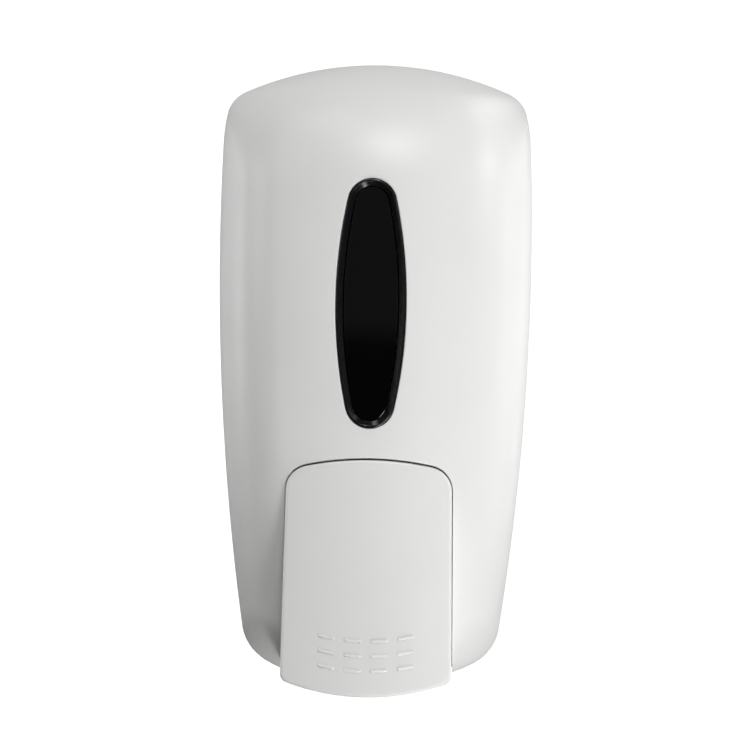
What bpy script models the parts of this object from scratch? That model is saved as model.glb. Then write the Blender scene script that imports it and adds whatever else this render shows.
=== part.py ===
"""Wall mounted soap dispenser: back plate, refill bottle, push pump, hinged cover, push lever and lock.

All sizes are in millimetres and are turned into metres when a mesh is made.
X is to the right, -Y is to the front, +Z is up, and the wall is the plane y = 0.
"""
import math

import bmesh
import bpy
import numpy as np
from mathutils import Matrix, Vector

MM = 0.001
GAP = 0.3

# Outer form of the cover
SIDE_HALF = 62.5
SIDE_WIDEST_Z = 51.0
SIDE_RADIUS = 1010.0
TOP_CORNER_START_Z = 92.5
TOP_CORNER_RADIUS = 60.0
TOP_Z = 124.8
TOP_RADIUS = 130.0
TOP_FLAT_DEPTH = 25.0
DOME_RADIUS = 90.0
BOTTOM_Z = -120.5
BOTTOM_RADIUS = 131.0
FRONT_DEPTH = 98.0
FRONT_CREST_Z = 20.0
FRONT_RADIUS_V = 900.0
FRONT_RADIUS_H = 90.0
CORNER_ROUND = 27.0
REAR_EDGE_ROUND = 4.0
SHOULDER_ROUND = 20.0
BOTTOM_ROUND = 20.0
BOTTOM_REAR_ROUND = 8.0
COVER_WALL = 2.5
COVER_REAR = 13.0

# Grid of the cover
SPINE_LOW = -60.0
SPINE_HIGH = 62.0
SPINE_STEPS = 7
FAN_ANGLES = (0, 13, 24, 32, 37, 41.5, 46, 53, 63, 76)
SIDE_ROWS = 6
FRONT_ROWS = 7

# Back plate
PLATE_INSET = 0.6
PLATE_RIM_WALL = 2.2
PLATE_RIM_DEPTH = 12.6
PLATE_FLOOR = 2.5
PLATE_LOW_RIM_DEPTH = 6.2
PLATE_LOW_RIM_Z = -104.0
KEYHOLE_X = 27.0
KEYHOLE_Z = 60.0
KEYHOLE_HEAD_R = 5.0
KEYHOLE_SLOT_R = 2.6
KEYHOLE_SLOT_RISE = 9.0
LOW_SLOT_Z = -72.0
SHELF_TOP = -47.2
SHELF_THICK = 2.6
SHELF_HALF = 32.0
SHELF_REACH = 60.0

# Cover hinge at the foot
HINGE_Y = -17.0
HINGE_Z = -111.0
HINGE_PIN_R = 2.0
HINGE_LOBE_R = 4.2
PLATE_EAR_X = (18.4, 22.6)
COVER_EAR_X = (23.2, 27.2)

# Sight window
WINDOW_Z = 27.2
WINDOW_HALF_HEIGHT = 47.3
WINDOW_HALF_WIDTH = 13.25
WINDOW_END_R = 9.2
WINDOW_SIDE_STEPS = 6
WINDOW_END_STEPS = 5
BEZEL_BAND = 2.7
LENS_RECESS = 2.3
LENS_THICK = 1.6

# Push lever
LEVER_HALF = 31.75
LEVER_TOP_Z = -32.4
LEVER_BOTTOM_Z = -121.0
LEVER_TOP_RADIUS = 112.0
LEVER_BOTTOM_RADIUS = 100.0
LEVER_TOP_CORNER = 9.5
LEVER_BOTTOM_CORNER = 3.6
LEVER_GAP = 0.7
LEVER_SIDE_GAP = 0.35
LEVER_TAPER = 0.0075
LEVER_WALL = 2.4
LEVER_PROUD = 0.3
LEVER_FLARE = 15.5
LEVER_FLARE_POWER = 1.3
LEVER_EDGE_ROUND = 1.3
CUTOUT_REAR = 38.0
PIVOT_Y = -78.0
PIVOT_Z = -48.5
PIVOT_PIN_R = 2.0
COVER_LUG_X = (33.3, 36.3)
GRIP_ROWS = 3
GRIP_COLUMNS = 4
GRIP_PITCH_X = 10.0
GRIP_PITCH_Z = 5.5
GRIP_FIRST_Z = -100.2
GRIP_LENGTH = 6.4
GRIP_WIDTH = 1.15
GRIP_HEIGHT = 0.5
GRIP_ARC_RADIUS = 84.0

# Bottle
BOTTLE_Y = -42.0
BOTTLE_HALF_X = 50.0
BOTTLE_HALF_Y = 36.0
BOTTLE_LOW = -39.0
BOTTLE_HIGH = 82.0
BOTTLE_ROUND = 20.0
BOTTLE_WALL = 1.5
NECK_R = 14.0
NECK_LOW = -62.0
FILLER_Y = -48.0
FILLER_R = 11.0
FILLER_HIGH = 91.0
SECTION_POINTS = 28

# Pump
PUMP_Z = -92.0
PUMP_TUBE_R = 12.0
PUMP_BORE_R = 8.5
PUMP_REAR = -30.0
PUMP_FRONT = -74.0
BORE_REAR = -36.0
PISTON_BACK = -62.0
SPOUT_Y = -50.0
SPOUT_R = 6.5
SPOUT_LOW = -112.0
SPOUT_BORE_R = 3.6
INLET_R = 11.0

# Lock
LOCK_Y = -24.0
LOCK_R = 6.0
LOCK_TOP = 124.0
LOCK_LOW = 106.4
HOUSING_R = 8.2
CAM_REACH = 14.5

ROUND_STEPS = 24
SMALL_STEPS = 16


def clear_scene():
    """Remove everything that the file starts with."""
    for item in list(bpy.data.objects):
        bpy.data.objects.remove(item, do_unlink=True)
    for mesh in list(bpy.data.meshes):
        bpy.data.meshes.remove(mesh)


def principled(name, colour, roughness, metallic=0.0, alpha=1.0):
    """Make a material with one Principled shader."""
    material = bpy.data.materials.new(name)
    material.use_nodes = True
    shader = material.node_tree.nodes["Principled BSDF"]
    shader.inputs["Base Color"].default_value = (*colour, 1.0)
    shader.inputs["Roughness"].default_value = roughness
    shader.inputs["Metallic"].default_value = metallic
    shader.inputs["Alpha"].default_value = alpha
    material.diffuse_color = (*colour, alpha)
    return material


def node(name, points, faces, smooth=True, curved=False):
    """Make one closed mesh object from points in millimetres; curved quads are split in two."""
    mesh = bpy.data.meshes.new(name)
    mesh.from_pydata([tuple(float(c) * MM for c in p) for p in points], [], faces)
    form = bmesh.new()
    form.from_mesh(mesh)
    bmesh.ops.remove_doubles(form, verts=form.verts, dist=1e-6)
    bmesh.ops.recalc_face_normals(form, faces=form.faces)
    if curved:
        bmesh.ops.triangulate(form, faces=form.faces)
    if form.calc_volume(signed=True) < 0:
        bmesh.ops.reverse_faces(form, faces=form.faces)
    form.to_mesh(mesh)
    form.free()
    item = bpy.data.objects.new(name, mesh)
    bpy.context.scene.collection.objects.link(item)
    for face in mesh.polygons:
        face.use_smooth = smooth
    return item


def skin(loops, ring=False, cap_first=False, cap_last=False):
    """Join equal loops of points into faces; a ring also joins the last loop to the first."""
    count = len(loops[0])
    points = [p for loop in loops for p in loop]
    faces = []
    spans = len(loops) if ring else len(loops) - 1
    for i in range(spans):
        a = i * count
        b = ((i + 1) % len(loops)) * count
        for k in range(count):
            n = (k + 1) % count
            faces.append((a + k, a + n, b + n, b + k))
    if cap_first:
        faces.append(tuple(reversed(range(count))))
    if cap_last:
        start = (len(loops) - 1) * count
        faces.append(tuple(range(start, start + count)))
    return points, faces


def boolean(target, tool, operation):
    """Apply an exact Boolean of the tool to the target and remove the tool."""
    step = target.modifiers.new("step", "BOOLEAN")
    step.operation = operation
    step.solver = "EXACT"
    step.object = tool
    bpy.context.view_layer.update()
    graph = bpy.context.evaluated_depsgraph_get()
    result = bpy.data.meshes.new_from_object(target.evaluated_get(graph))
    old = target.data
    target.modifiers.clear()
    target.data = result
    bpy.data.meshes.remove(old)
    bpy.data.objects.remove(tool, do_unlink=True)
    result.name = target.name
    form = bmesh.new()
    form.from_mesh(result)
    bmesh.ops.remove_doubles(form, verts=form.verts, dist=2e-6)
    bmesh.ops.dissolve_degenerate(form, edges=form.edges, dist=1e-6)
    form.to_mesh(result)
    form.free()


def cut(target, tool):
    boolean(target, tool, "DIFFERENCE")


def unite(target, tool):
    boolean(target, tool, "UNION")


def turned(name, profile, centre, axis, steps=ROUND_STEPS, closed=False):
    """Turn a profile of (radius, height) about an axis through the centre.

    An open profile starts and ends on the axis; a closed one never meets it.
    """
    along = Vector(axis).normalized()
    side = along.orthogonal().normalized()
    if abs(along.z) < 0.5:
        side = Vector((0, 0, 1))
    other = along.cross(side)
    loops = []
    for radius, height in profile:
        loop = []
        for k in range(steps):
            angle = 2 * math.pi * k / steps
            turn = side * (radius * math.cos(angle)) + other * (radius * math.sin(angle))
            loop.append(tuple(Vector(centre) + along * height + turn))
        loops.append(loop)
    points, faces = skin(loops, ring=closed)
    return node(name, points, faces)


def rod(name, radius, start, end, steps=SMALL_STEPS):
    """A plain round rod between two points."""
    a = Vector(start)
    b = Vector(end)
    length = (b - a).length
    profile = [(0, 0), (radius, 0), (radius, length), (0, length)]
    return turned(name, profile, a, b - a, steps)


def side_hole(side, span, radius, y, z):
    """Tool for a hole along X through one ear and a little beyond its faces."""
    return rod("hole", radius, (side * (span[0] - 1.0), y, z), (side * (span[1] + 1.0), y, z))


def block(name, low, high):
    """A box between two corners."""
    x0, y0, z0 = low
    x1, y1, z1 = high
    points = [(x, y, z) for x in (x0, x1) for y in (y0, y1) for z in (z0, z1)]
    faces = [(0, 1, 3, 2), (4, 6, 7, 5), (0, 4, 5, 1), (2, 3, 7, 6), (0, 2, 6, 4), (1, 5, 7, 3)]
    return node(name, points, faces, smooth=False)


def prism(name, shape, axis, low, high):
    """Extrude a flat shape along X, Y or Z; the shape gives the other two coordinates in order."""
    def place(p, h):
        if axis == "X":
            return (h, p[0], p[1])
        if axis == "Y":
            return (p[0], h, p[1])
        return (p[0], p[1], h)
    loops = [[place(p, low) for p in shape], [place(p, high) for p in shape]]
    points, faces = skin(loops, cap_first=True, cap_last=True)
    return node(name, points, faces, smooth=False)


def arc(cx, cy, radius, start, end, steps):
    """Points on an arc, angles in degrees, both ends included."""
    angles = [math.radians(start + (end - start) * k / steps) for k in range(steps + 1)]
    return [(cx + radius * math.cos(a), cy + radius * math.sin(a)) for a in angles]


def smoothstep(t):
    t = np.clip(t, 0.0, 1.0)
    return t * t * (3.0 - 2.0 * t)


def round_meet(a, b, radius):
    """Distance to the meeting of two forms with a rounded edge; negative is inside."""
    corner = np.hypot(np.maximum(a + radius, 0.0), np.maximum(b + radius, 0.0))
    return np.minimum(-radius, np.maximum(a, b)) + corner


def sag(x, radius):
    """How far an arc has dropped at a distance from its middle."""
    reach = np.minimum(np.abs(x), 0.95 * radius)
    return radius - np.sqrt(radius * radius - reach * reach)


def sag_slope(x, radius):
    reach = np.minimum(np.abs(x), 0.95 * radius)
    return reach / np.sqrt(radius * radius - reach * reach)


def half_width(z):
    """Half width of the cover at a height."""
    bend = sag(np.maximum(z - TOP_CORNER_START_Z, 0.0), TOP_CORNER_RADIUS)
    return SIDE_HALF - (z - SIDE_WIDEST_Z) ** 2 / (2 * SIDE_RADIUS) - bend


def front_depth(x, z):
    """Distance of the cover's front from the wall."""
    return FRONT_DEPTH - (z - FRONT_CREST_Z) ** 2 / (2 * FRONT_RADIUS_V) - sag(x, FRONT_RADIUS_H)


def body_field(x, y, z):
    """Signed distance to the outer form of the cover."""
    side = np.abs(x) - half_width(z)
    front = (-y - front_depth(x, z)) / np.sqrt(1 + sag_slope(x, FRONT_RADIUS_H) ** 2)
    fall = np.maximum(-y - TOP_FLAT_DEPTH, 0.0)
    steep = np.sqrt(1 + sag_slope(x, TOP_RADIUS) ** 2 + (fall / DOME_RADIUS) ** 2)
    top = (z - TOP_Z + sag(x, TOP_RADIUS) + fall ** 2 / (2 * DOME_RADIUS)) / steep
    low_steep = np.sqrt(1 + sag_slope(x, BOTTOM_RADIUS) ** 2)
    bottom = (BOTTOM_Z + sag(x, BOTTOM_RADIUS) - z) / low_steep
    blend = smoothstep((-y - 40.0) / 35.0)
    top_round = REAR_EDGE_ROUND + (SHOULDER_ROUND - REAR_EDGE_ROUND) * blend
    low_round = BOTTOM_REAR_ROUND + (BOTTOM_ROUND - BOTTOM_REAR_ROUND) * blend
    form = round_meet(side, front, CORNER_ROUND)
    form = round_meet(form, top, top_round)
    return round_meet(form, bottom, low_round)


def solve(origin, direction, level, reach=260.0, steps=44):
    """Walk along rays to where the form's distance equals the level."""
    low = np.zeros(len(origin))
    high = np.full(len(origin), reach)
    for _ in range(steps):
        mid = (low + high) / 2
        p = origin + direction * mid[:, None]
        inside = body_field(p[:, 0], p[:, 1], p[:, 2]) < level
        low = np.where(inside, mid, low)
        high = np.where(inside, high, mid)
    return origin + direction * low[:, None]


def column_rays():
    """Origins on the spine and outward directions, once round the outline."""
    rays = []
    for k in range(SPINE_STEPS):
        rays.append((SPINE_LOW + (SPINE_HIGH - SPINE_LOW) * k / SPINE_STEPS, 0.0))
    fan = list(FAN_ANGLES) + [180.0 - a for a in (90.0,) + FAN_ANGLES[:0:-1]]
    for angle in fan:
        rays.append((SPINE_HIGH, angle))
    for k in range(SPINE_STEPS):
        rays.append((SPINE_HIGH + (SPINE_LOW - SPINE_HIGH) * k / SPINE_STEPS, 180.0))
    for angle in fan:
        rays.append((SPINE_LOW, 180.0 + angle))
    heights = np.array([r[0] for r in rays])
    angles = np.radians([r[1] for r in rays])
    origin = np.stack([np.zeros(len(rays)), np.full(len(rays), -COVER_REAR), heights], axis=1)
    outward = np.stack([np.cos(angles), np.zeros(len(rays)), np.sin(angles)], axis=1)
    return origin, outward


def outline(level):
    """The form's outline in the plane of the cover's rear edge, as (x, z) points."""
    origin, outward = column_rays()
    return [(p[0], p[2]) for p in solve(origin, outward, level)]


def form_loops(level):
    """Loops from the cover's rear edge to the middle of its front."""
    origin, outward = column_rays()
    rim = solve(origin, outward, level)
    reach = np.linalg.norm(rim - origin, axis=1)
    deep = FRONT_DEPTH - COVER_REAR
    loops = []
    for k in range(SIDE_ROWS):
        share = math.sin(math.pi / 2 * k / SIDE_ROWS)
        target = outward * reach[:, None] + np.array([0.0, -deep * share, 0.0])
        target /= np.linalg.norm(target, axis=1)[:, None]
        loops.append(solve(origin, target, level))
    for k in range(FRONT_ROWS + 1):
        share = math.cos(math.pi / 2 * k / FRONT_ROWS)
        if k == FRONT_ROWS:
            share = 0.0
        target = outward * (reach * share)[:, None] + np.array([0.0, -deep, 0.0])
        target /= np.linalg.norm(target, axis=1)[:, None]
        loops.append(solve(origin, target, level))
    return loops


def window_outline(grow):
    """Barrel shaped oval of the sight window, grown by a margin, as (x, z) points."""
    drop = WINDOW_HALF_WIDTH - WINDOW_END_R
    end_z = WINDOW_HALF_HEIGHT - WINDOW_END_R
    side_radius = (end_z ** 2 + WINDOW_HALF_WIDTH ** 2 - WINDOW_END_R ** 2) / (2 * drop)
    centre_x = WINDOW_HALF_WIDTH - side_radius
    tilt = math.degrees(math.atan2(end_z, -centre_x))
    points = arc(centre_x, 0.0, side_radius + grow, 0.0, tilt, WINDOW_SIDE_STEPS)[:-1]
    points += arc(0.0, end_z, WINDOW_END_R + grow, tilt, 90.0, WINDOW_END_STEPS)
    upper = points + [(-x, z) for x, z in reversed(points[:-1])]
    loop = upper + [(x, -z) for x, z in reversed(upper[1:-1])]
    return [(x, z + WINDOW_Z) for x, z in loop]


def lever_depth(x, z):
    """Distance of the lever's front from the wall."""
    share = np.clip((LEVER_TOP_Z - z) / (LEVER_TOP_Z - LEVER_BOTTOM_Z), 0.0, 1.1)
    top = front_depth(0.0, LEVER_TOP_Z) + LEVER_PROUD
    return top + LEVER_FLARE * share ** LEVER_FLARE_POWER - sag(x, FRONT_RADIUS_H)


def lever_outline(grow, corner_steps=4, edge_steps=4, side_steps=6, bottom=LEVER_BOTTOM_Z, side=None):
    """Outline of the lever: arched top, slightly flared sides, bowed bottom, as (x, z) points."""
    half = LEVER_HALF + (grow if side is None else side)
    top_r = LEVER_TOP_CORNER + grow
    low_r = max(LEVER_BOTTOM_CORNER + grow, 0.4)
    top_arc = LEVER_TOP_RADIUS + grow
    low_arc = LEVER_BOTTOM_RADIUS + grow
    top_x = half - top_r
    top_tilt = math.asin(top_x / (top_arc - top_r))
    top_middle = LEVER_TOP_Z + grow - top_arc
    corner_z = top_middle + (top_arc - top_r) * math.cos(top_tilt)
    low_half = half + LEVER_TAPER * (LEVER_TOP_Z - bottom)
    low_x = low_half - low_r
    low_tilt = math.asin(low_x / (low_arc - low_r))
    low_middle = bottom - grow + low_arc
    low_z = low_middle - (low_arc - low_r) * math.cos(low_tilt)
    right = []
    for k in range(edge_steps):
        turn = top_tilt * k / edge_steps
        right.append((top_arc * math.sin(turn), top_middle + top_arc * math.cos(turn)))
    right += arc(top_x, corner_z, top_r, 90.0 - math.degrees(top_tilt), 0.0, corner_steps)
    for k in range(1, side_steps):
        share = k / side_steps
        right.append((half + (low_half - half) * share, corner_z + (low_z - corner_z) * share))
    right += arc(low_x, low_z, low_r, 0.0, -90.0 + math.degrees(low_tilt), corner_steps)
    for k in range(1, edge_steps + 1):
        turn = low_tilt * (1 - k / edge_steps)
        right.append((low_arc * math.sin(turn), low_middle - low_arc * math.cos(turn)))
    left = [(-x, z) for x, z in reversed(right[1:-1])]
    return right + left


def make_back_plate():
    """Shallow tray with a rim, screw slots, hinge ears and the bottle shelf."""
    outer = outline(-PLATE_INSET)
    inner = outline(-PLATE_INSET - PLATE_RIM_WALL)
    loops = [
        [(x, 0.0, z) for x, z in outer],
        [(x, -PLATE_RIM_DEPTH, z) for x, z in outer],
        [(x, -PLATE_RIM_DEPTH, z) for x, z in inner],
        [(x, -PLATE_FLOOR, z) for x, z in inner],
    ]
    points, faces = skin(loops, cap_first=True, cap_last=True)
    plate = node("back_plate", points, faces, smooth=False)
    cut(plate, block("low_rim", (-80, -20, -140), (80, -PLATE_LOW_RIM_DEPTH, PLATE_LOW_RIM_Z)))
    for side in (-1, 1):
        ears = sorted((side * PLATE_EAR_X[0], side * PLATE_EAR_X[1]))
        shape = arc(HINGE_Y, HINGE_Z, HINGE_LOBE_R, 90.0, 270.0, 10)
        root = -PLATE_FLOOR + 1.0
        shape += [(root, HINGE_Z - HINGE_LOBE_R), (root, HINGE_Z + HINGE_LOBE_R + 4)]
        unite(plate, prism("ear", shape, "X", ears[0], ears[1]))
        cut(plate, side_hole(side, PLATE_EAR_X, HINGE_PIN_R + GAP, HINGE_Y, HINGE_Z))
    unite(plate, shelf_tool())
    for side in (-1, 1):
        keyhole(plate, side * KEYHOLE_X, KEYHOLE_Z)
        slot = arc(side * KEYHOLE_X, LOW_SLOT_Z + 4, KEYHOLE_SLOT_R, 0, 180, 8)
        slot += arc(side * KEYHOLE_X, LOW_SLOT_Z - 4, KEYHOLE_SLOT_R, 180, 360, 8)
        cut(plate, prism("slot", slot, "Y", -8.0, 4.0))
    return plate


def keyhole(plate, x, z):
    """Round hole for a screw head with a narrow slot above it."""
    half = math.degrees(math.asin(KEYHOLE_SLOT_R / KEYHOLE_HEAD_R))
    shape = arc(x, z, KEYHOLE_HEAD_R, 90.0 + half, 450.0 - half, 20)
    shape += arc(x, z + KEYHOLE_SLOT_RISE, KEYHOLE_SLOT_R, 0.0, 180.0, 10)
    cut(plate, prism("keyhole", shape, "Y", -8.0, 4.0))


def shelf_tool():
    """Forked shelf that carries the bottle's shoulder round its neck."""
    r = NECK_R + 1.0
    shape = [(SHELF_HALF, -PLATE_FLOOR + 1.0), (SHELF_HALF, -SHELF_REACH + 8)]
    shape += arc(SHELF_HALF - 8, -SHELF_REACH + 8, 8, 0, -90, 5)[1:]
    shape += [(r, -SHELF_REACH)]
    shape += arc(0, BOTTLE_Y, r, 0, 180, 18)
    shape += [(-r, -SHELF_REACH)]
    shape += arc(-SHELF_HALF + 8, -SHELF_REACH + 8, 8, 270, 180, 5)
    shape += [(-SHELF_HALF, -PLATE_FLOOR + 1.0)]
    return prism("shelf", shape, "Z", SHELF_TOP - SHELF_THICK, SHELF_TOP)


def make_hinge_pin(side):
    """Headed pin through a plate ear and a cover ear."""
    name = "hinge_pin_left" if side < 0 else "hinge_pin_right"
    inner = PLATE_EAR_X[0] - GAP
    profile = [(0, -1.6), (3.2, -1.6), (3.2, 0), (HINGE_PIN_R, 0), (HINGE_PIN_R, 9.9)]
    profile += [(1.5, 10.4), (0, 10.4)]
    return turned(name, profile, (side * inner, HINGE_Y, HINGE_Z), (side, 0, 0), SMALL_STEPS)


def make_lock_keeper():
    """Bent catch on the plate that the lock's cam turns behind."""
    shape = [(-2.8, 94), (-2.8, 113), (-5.0, 113), (-5.0, 103.4), (-27.3, 103.4), (-27.3, 110)]
    shape += [(-29.4, 110), (-29.4, 101), (-5.0, 101), (-5.0, 94)]
    return prism("lock_keeper", shape, "X", 10.0, 15.5)


def rounded_section(cx, cy, half_x, half_y, radius, z, count=SECTION_POINTS):
    """Loop of a rounded rectangle in a level plane; equal point counts for every section."""
    radius = min(radius, half_x - 0.01, half_y - 0.01)
    loop = []
    quarter = count // 4
    corners = ((1, 1, 0), (-1, 1, 90), (-1, -1, 180), (1, -1, 270))
    for sx, sy, start in corners:
        px = cx + sx * (half_x - radius)
        py = cy + sy * (half_y - radius)
        for k in range(quarter):
            angle = math.radians(start + 90.0 * k / (quarter - 1))
            loop.append((px + radius * math.cos(angle), py + radius * math.sin(angle), z))
    return loop


def make_bottle():
    """Rounded bottle with a pump neck below and a filler neck on top."""
    def side(inset):
        r = BOTTLE_ROUND - inset
        low = BOTTLE_LOW + inset
        high = BOTTLE_HIGH - inset
        hx = BOTTLE_HALF_X - inset
        hy = BOTTLE_HALF_Y - inset
        neck = NECK_R - inset
        fill = FILLER_R - inset
        loops = [
            rounded_section(0, BOTTLE_Y, neck, neck, neck, NECK_LOW),
            rounded_section(0, BOTTLE_Y, neck, neck, neck, low - 6),
            rounded_section(0, BOTTLE_Y, neck + 2, neck + 2, neck + 2, low - 5.2),
            rounded_section(0, BOTTLE_Y, hx - 12, hy - 12, r - 6, low - 1),
            rounded_section(0, BOTTLE_Y, hx - 6, hy - 6, r - 3, low + 1.6),
            rounded_section(0, BOTTLE_Y, hx - 1.8, hy - 1.8, r, low + 6),
            rounded_section(0, BOTTLE_Y, hx, hy, r, low + 12),
            rounded_section(0, BOTTLE_Y, hx, hy, r, high - 12),
            rounded_section(0, BOTTLE_Y, hx - 1.8, hy - 1.8, r, high - 6),
            rounded_section(0, BOTTLE_Y, hx - 6, hy - 6, r - 3, high - 1.6),
            rounded_section(0, BOTTLE_Y, hx - 12, hy - 12, r - 6, high),
            rounded_section(0, FILLER_Y, fill + 1, fill + 1, fill + 1, high + 1.2),
            rounded_section(0, FILLER_Y, fill, fill, fill, high + 2),
            rounded_section(0, FILLER_Y, fill, fill, fill, FILLER_HIGH),
        ]
        return loops
    loops = side(0.0) + list(reversed(side(BOTTLE_WALL)))
    points, faces = skin(loops, ring=True)
    return node("soap_bottle", points, faces)


def make_collar_nut():
    """Nut round the neck that carries the pump; its grips run round the outside."""
    low = -66.5
    inner = NECK_R + GAP + 0.2
    outer = 18.5
    profile = [(inner, SHELF_TOP - SHELF_THICK - 1.2), (outer - 1, SHELF_TOP - SHELF_THICK - 1.2)]
    profile += [(outer, SHELF_TOP - SHELF_THICK - 2.4), (outer, low + 1), (outer - 1, low), (12.4, low)]
    profile += [(12.4, low + 1.6), (inner, low + 1.6)]
    nut = turned("collar_nut", profile, (0, BOTTLE_Y, 0), (0, 0, 1), closed=True)
    return nut


def make_collar_gasket():
    """Flat ring between the bottle's neck and the pump's flange."""
    profile = [(9.0, NECK_LOW - 1.5), (13.2, NECK_LOW - 1.5), (13.2, NECK_LOW - GAP), (9.0, NECK_LOW - GAP)]
    return turned("collar_gasket", profile, (0, BOTTLE_Y, 0), (0, 0, 1), closed=True)


def make_pump_body():
    """Inlet flange, level cylinder and downward spout in one moulding."""
    top = NECK_LOW - 1.5 - GAP
    length = PUMP_REAR - PUMP_FRONT
    lip = PUMP_TUBE_R + 1.6
    profile = [(0, 0), (PUMP_TUBE_R - 1, 0), (PUMP_TUBE_R, 1), (PUMP_TUBE_R, length - 3)]
    profile += [(lip, length - 3), (lip, length), (0, length)]
    tube = turned("pump_body", profile, (0, PUMP_REAR, PUMP_Z), (0, -1, 0))
    inlet = [(0, PUMP_Z), (INLET_R, PUMP_Z), (INLET_R, -67.2), (12.0, -67.2), (12.0, top - 1.0)]
    inlet += [(13.2, top - 1.0), (13.2, top), (0, top)]
    unite(tube, turned("inlet", inlet, (0, BOTTLE_Y, 0), (0, 0, 1)))
    spout = [(0, SPOUT_LOW), (SPOUT_R - 1, SPOUT_LOW), (SPOUT_R, SPOUT_LOW + 1)]
    spout += [(SPOUT_R, PUMP_Z), (0, PUMP_Z)]
    unite(tube, turned("spout", spout, (0, SPOUT_Y, 0), (0, 0, 1), 24))
    cut(tube, rod("bore", PUMP_BORE_R, (0, BORE_REAR, PUMP_Z), (0, PUMP_FRONT - 5, PUMP_Z), steps=28))
    cut(tube, rod("drop", 3.0, (0, BOTTLE_Y, PUMP_Z), (0, BOTTLE_Y, top + 5)))
    cut(tube, rod("cup", 8.0, (0, BOTTLE_Y, top - 3.0), (0, BOTTLE_Y, top + 5), steps=24))
    cut(tube, rod("outlet", SPOUT_BORE_R, (0, SPOUT_Y, PUMP_Z), (0, SPOUT_Y, SPOUT_LOW - 5)))
    return tube


def make_inlet_valve():
    """Mushroom valve that rests in the cup above the inlet."""
    top = NECK_LOW - 1.5 - GAP
    base = top - 3.0 + GAP
    profile = [(0, base - 4), (1.6, base - 4), (1.6, base), (6.4, base), (6.4, base + 0.7)]
    profile += [(2.0, base + 1.4), (0, base + 1.5)]
    return turned("inlet_valve", profile, (0, BOTTLE_Y, 0), (0, 0, 1), 24)


def make_duckbill():
    """Soft valve in the spout that shuts after each push."""
    profile = [(0, -111.4), (0.9, -111.4), (1.3, -107.5), (3.2, -105.5), (3.2, -101.0)]
    profile += [(2.2, -101.0), (2.0, -104.8), (0, -106.4)]
    return turned("duckbill_valve", profile, (0, SPOUT_Y, 0), (0, 0, 1), 20)


def make_nozzle_tip():
    """Cap ring pressed over the spout's end."""
    inner = SPOUT_R + GAP
    outer = SPOUT_R + 1.7
    profile = [(inner, SPOUT_LOW + 5), (outer - 0.3, SPOUT_LOW + 5), (outer, SPOUT_LOW + 4.4)]
    profile += [(outer, SPOUT_LOW), (outer - 3.4, SPOUT_LOW - 4.5), (2.6, SPOUT_LOW - 4.5)]
    profile += [(2.6, SPOUT_LOW - 2.4), (3.6, SPOUT_LOW - GAP), (inner, SPOUT_LOW - GAP)]
    return turned("nozzle_tip", profile, (0, SPOUT_Y, 0), (0, 0, 1), 24, closed=True)


def make_piston():
    """Stem with a grooved head, its seal ring, the push cap and the return spring."""
    head = PUMP_BORE_R - GAP
    profile = [(0, 0), (head, 0), (head, 1.4), (6.2, 1.4), (6.2, 4.0), (head, 4.0), (head, 5.4)]
    profile += [(4.0, 5.4), (4.0, 25.6), (0, 25.6)]
    stem = turned("piston_stem", profile, (0, PISTON_BACK, PUMP_Z), (0, -1, 0), 24)
    ring = []
    for k in range(8):
        angle = 2 * math.pi * k / 8
        ring.append((7.35 + 0.85 * math.cos(angle), 2.7 + 0.85 * math.sin(angle)))
    seal = turned("piston_seal", ring, (0, PISTON_BACK, PUMP_Z), (0, -1, 0), 24, closed=True)
    cap_profile = [(0, 25.9), (4.3, 25.9), (4.3, 21.0), (6.2, 21.0), (7.0, 21.8), (7.0, 25.2), (6.2, 26.6)]
    cap_profile += [(4.4, 27.6), (2.2, 28.1), (0, 28.2)]
    cap = turned("piston_cap", cap_profile, (0, PISTON_BACK, PUMP_Z), (0, -1, 0), 24)
    spring = make_spring("pump_spring", 6.1, 0.6, BORE_REAR - 1.0, PISTON_BACK + 1.0, 6.5)
    return stem, seal, cap, spring


def make_spring(name, radius, wire, start, end, turns):
    """Round wire wound about the pump's axis."""
    steps = int(turns * 12)
    sides = 5
    loops = []
    for k in range(steps + 1):
        share = k / steps
        angle = 2 * math.pi * turns * share
        outward = Vector((math.cos(angle), 0, math.sin(angle)))
        centre = outward * radius + Vector((0, start + (end - start) * share, PUMP_Z))
        pitch = (end - start) / (2 * math.pi * turns * radius)
        along = Vector((-math.sin(angle), pitch, math.cos(angle))).normalized()
        up = along.cross(outward).normalized()
        loop = []
        for s in range(sides):
            a = 2 * math.pi * s / sides
            loop.append(tuple(centre + outward * (wire * math.cos(a)) + up * (wire * math.sin(a))))
        loops.append(loop)
    points, faces = skin(loops, cap_first=True, cap_last=True)
    return node(name, points, faces)


def make_filler_cap():
    """Push-in lid of the filler neck with a finger rim, and its gasket."""
    inner = FILLER_R - BOTTLE_WALL - GAP
    top = FILLER_HIGH
    rim = FILLER_R + 1.6
    profile = [(0, top + 0.4), (inner - 1.6, top + 0.4), (inner - 1.6, top - 6), (inner, top - 6)]
    profile += [(inner, top + 1.6), (rim, top + 1.6), (rim, top + 3.4), (rim - 0.8, top + 4.2)]
    profile += [(0, top + 4.6)]
    cap = turned("filler_cap", profile, (0, FILLER_Y, 0), (0, 0, 1))
    low = top + GAP
    seat = rim - 1.0
    ring = [(inner + GAP, low), (seat, low), (seat, low + 1.0), (inner + GAP, low + 1.0)]
    gasket = turned("filler_gasket", ring, (0, FILLER_Y, 0), (0, 0, 1), closed=True)
    return cap, gasket


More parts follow.
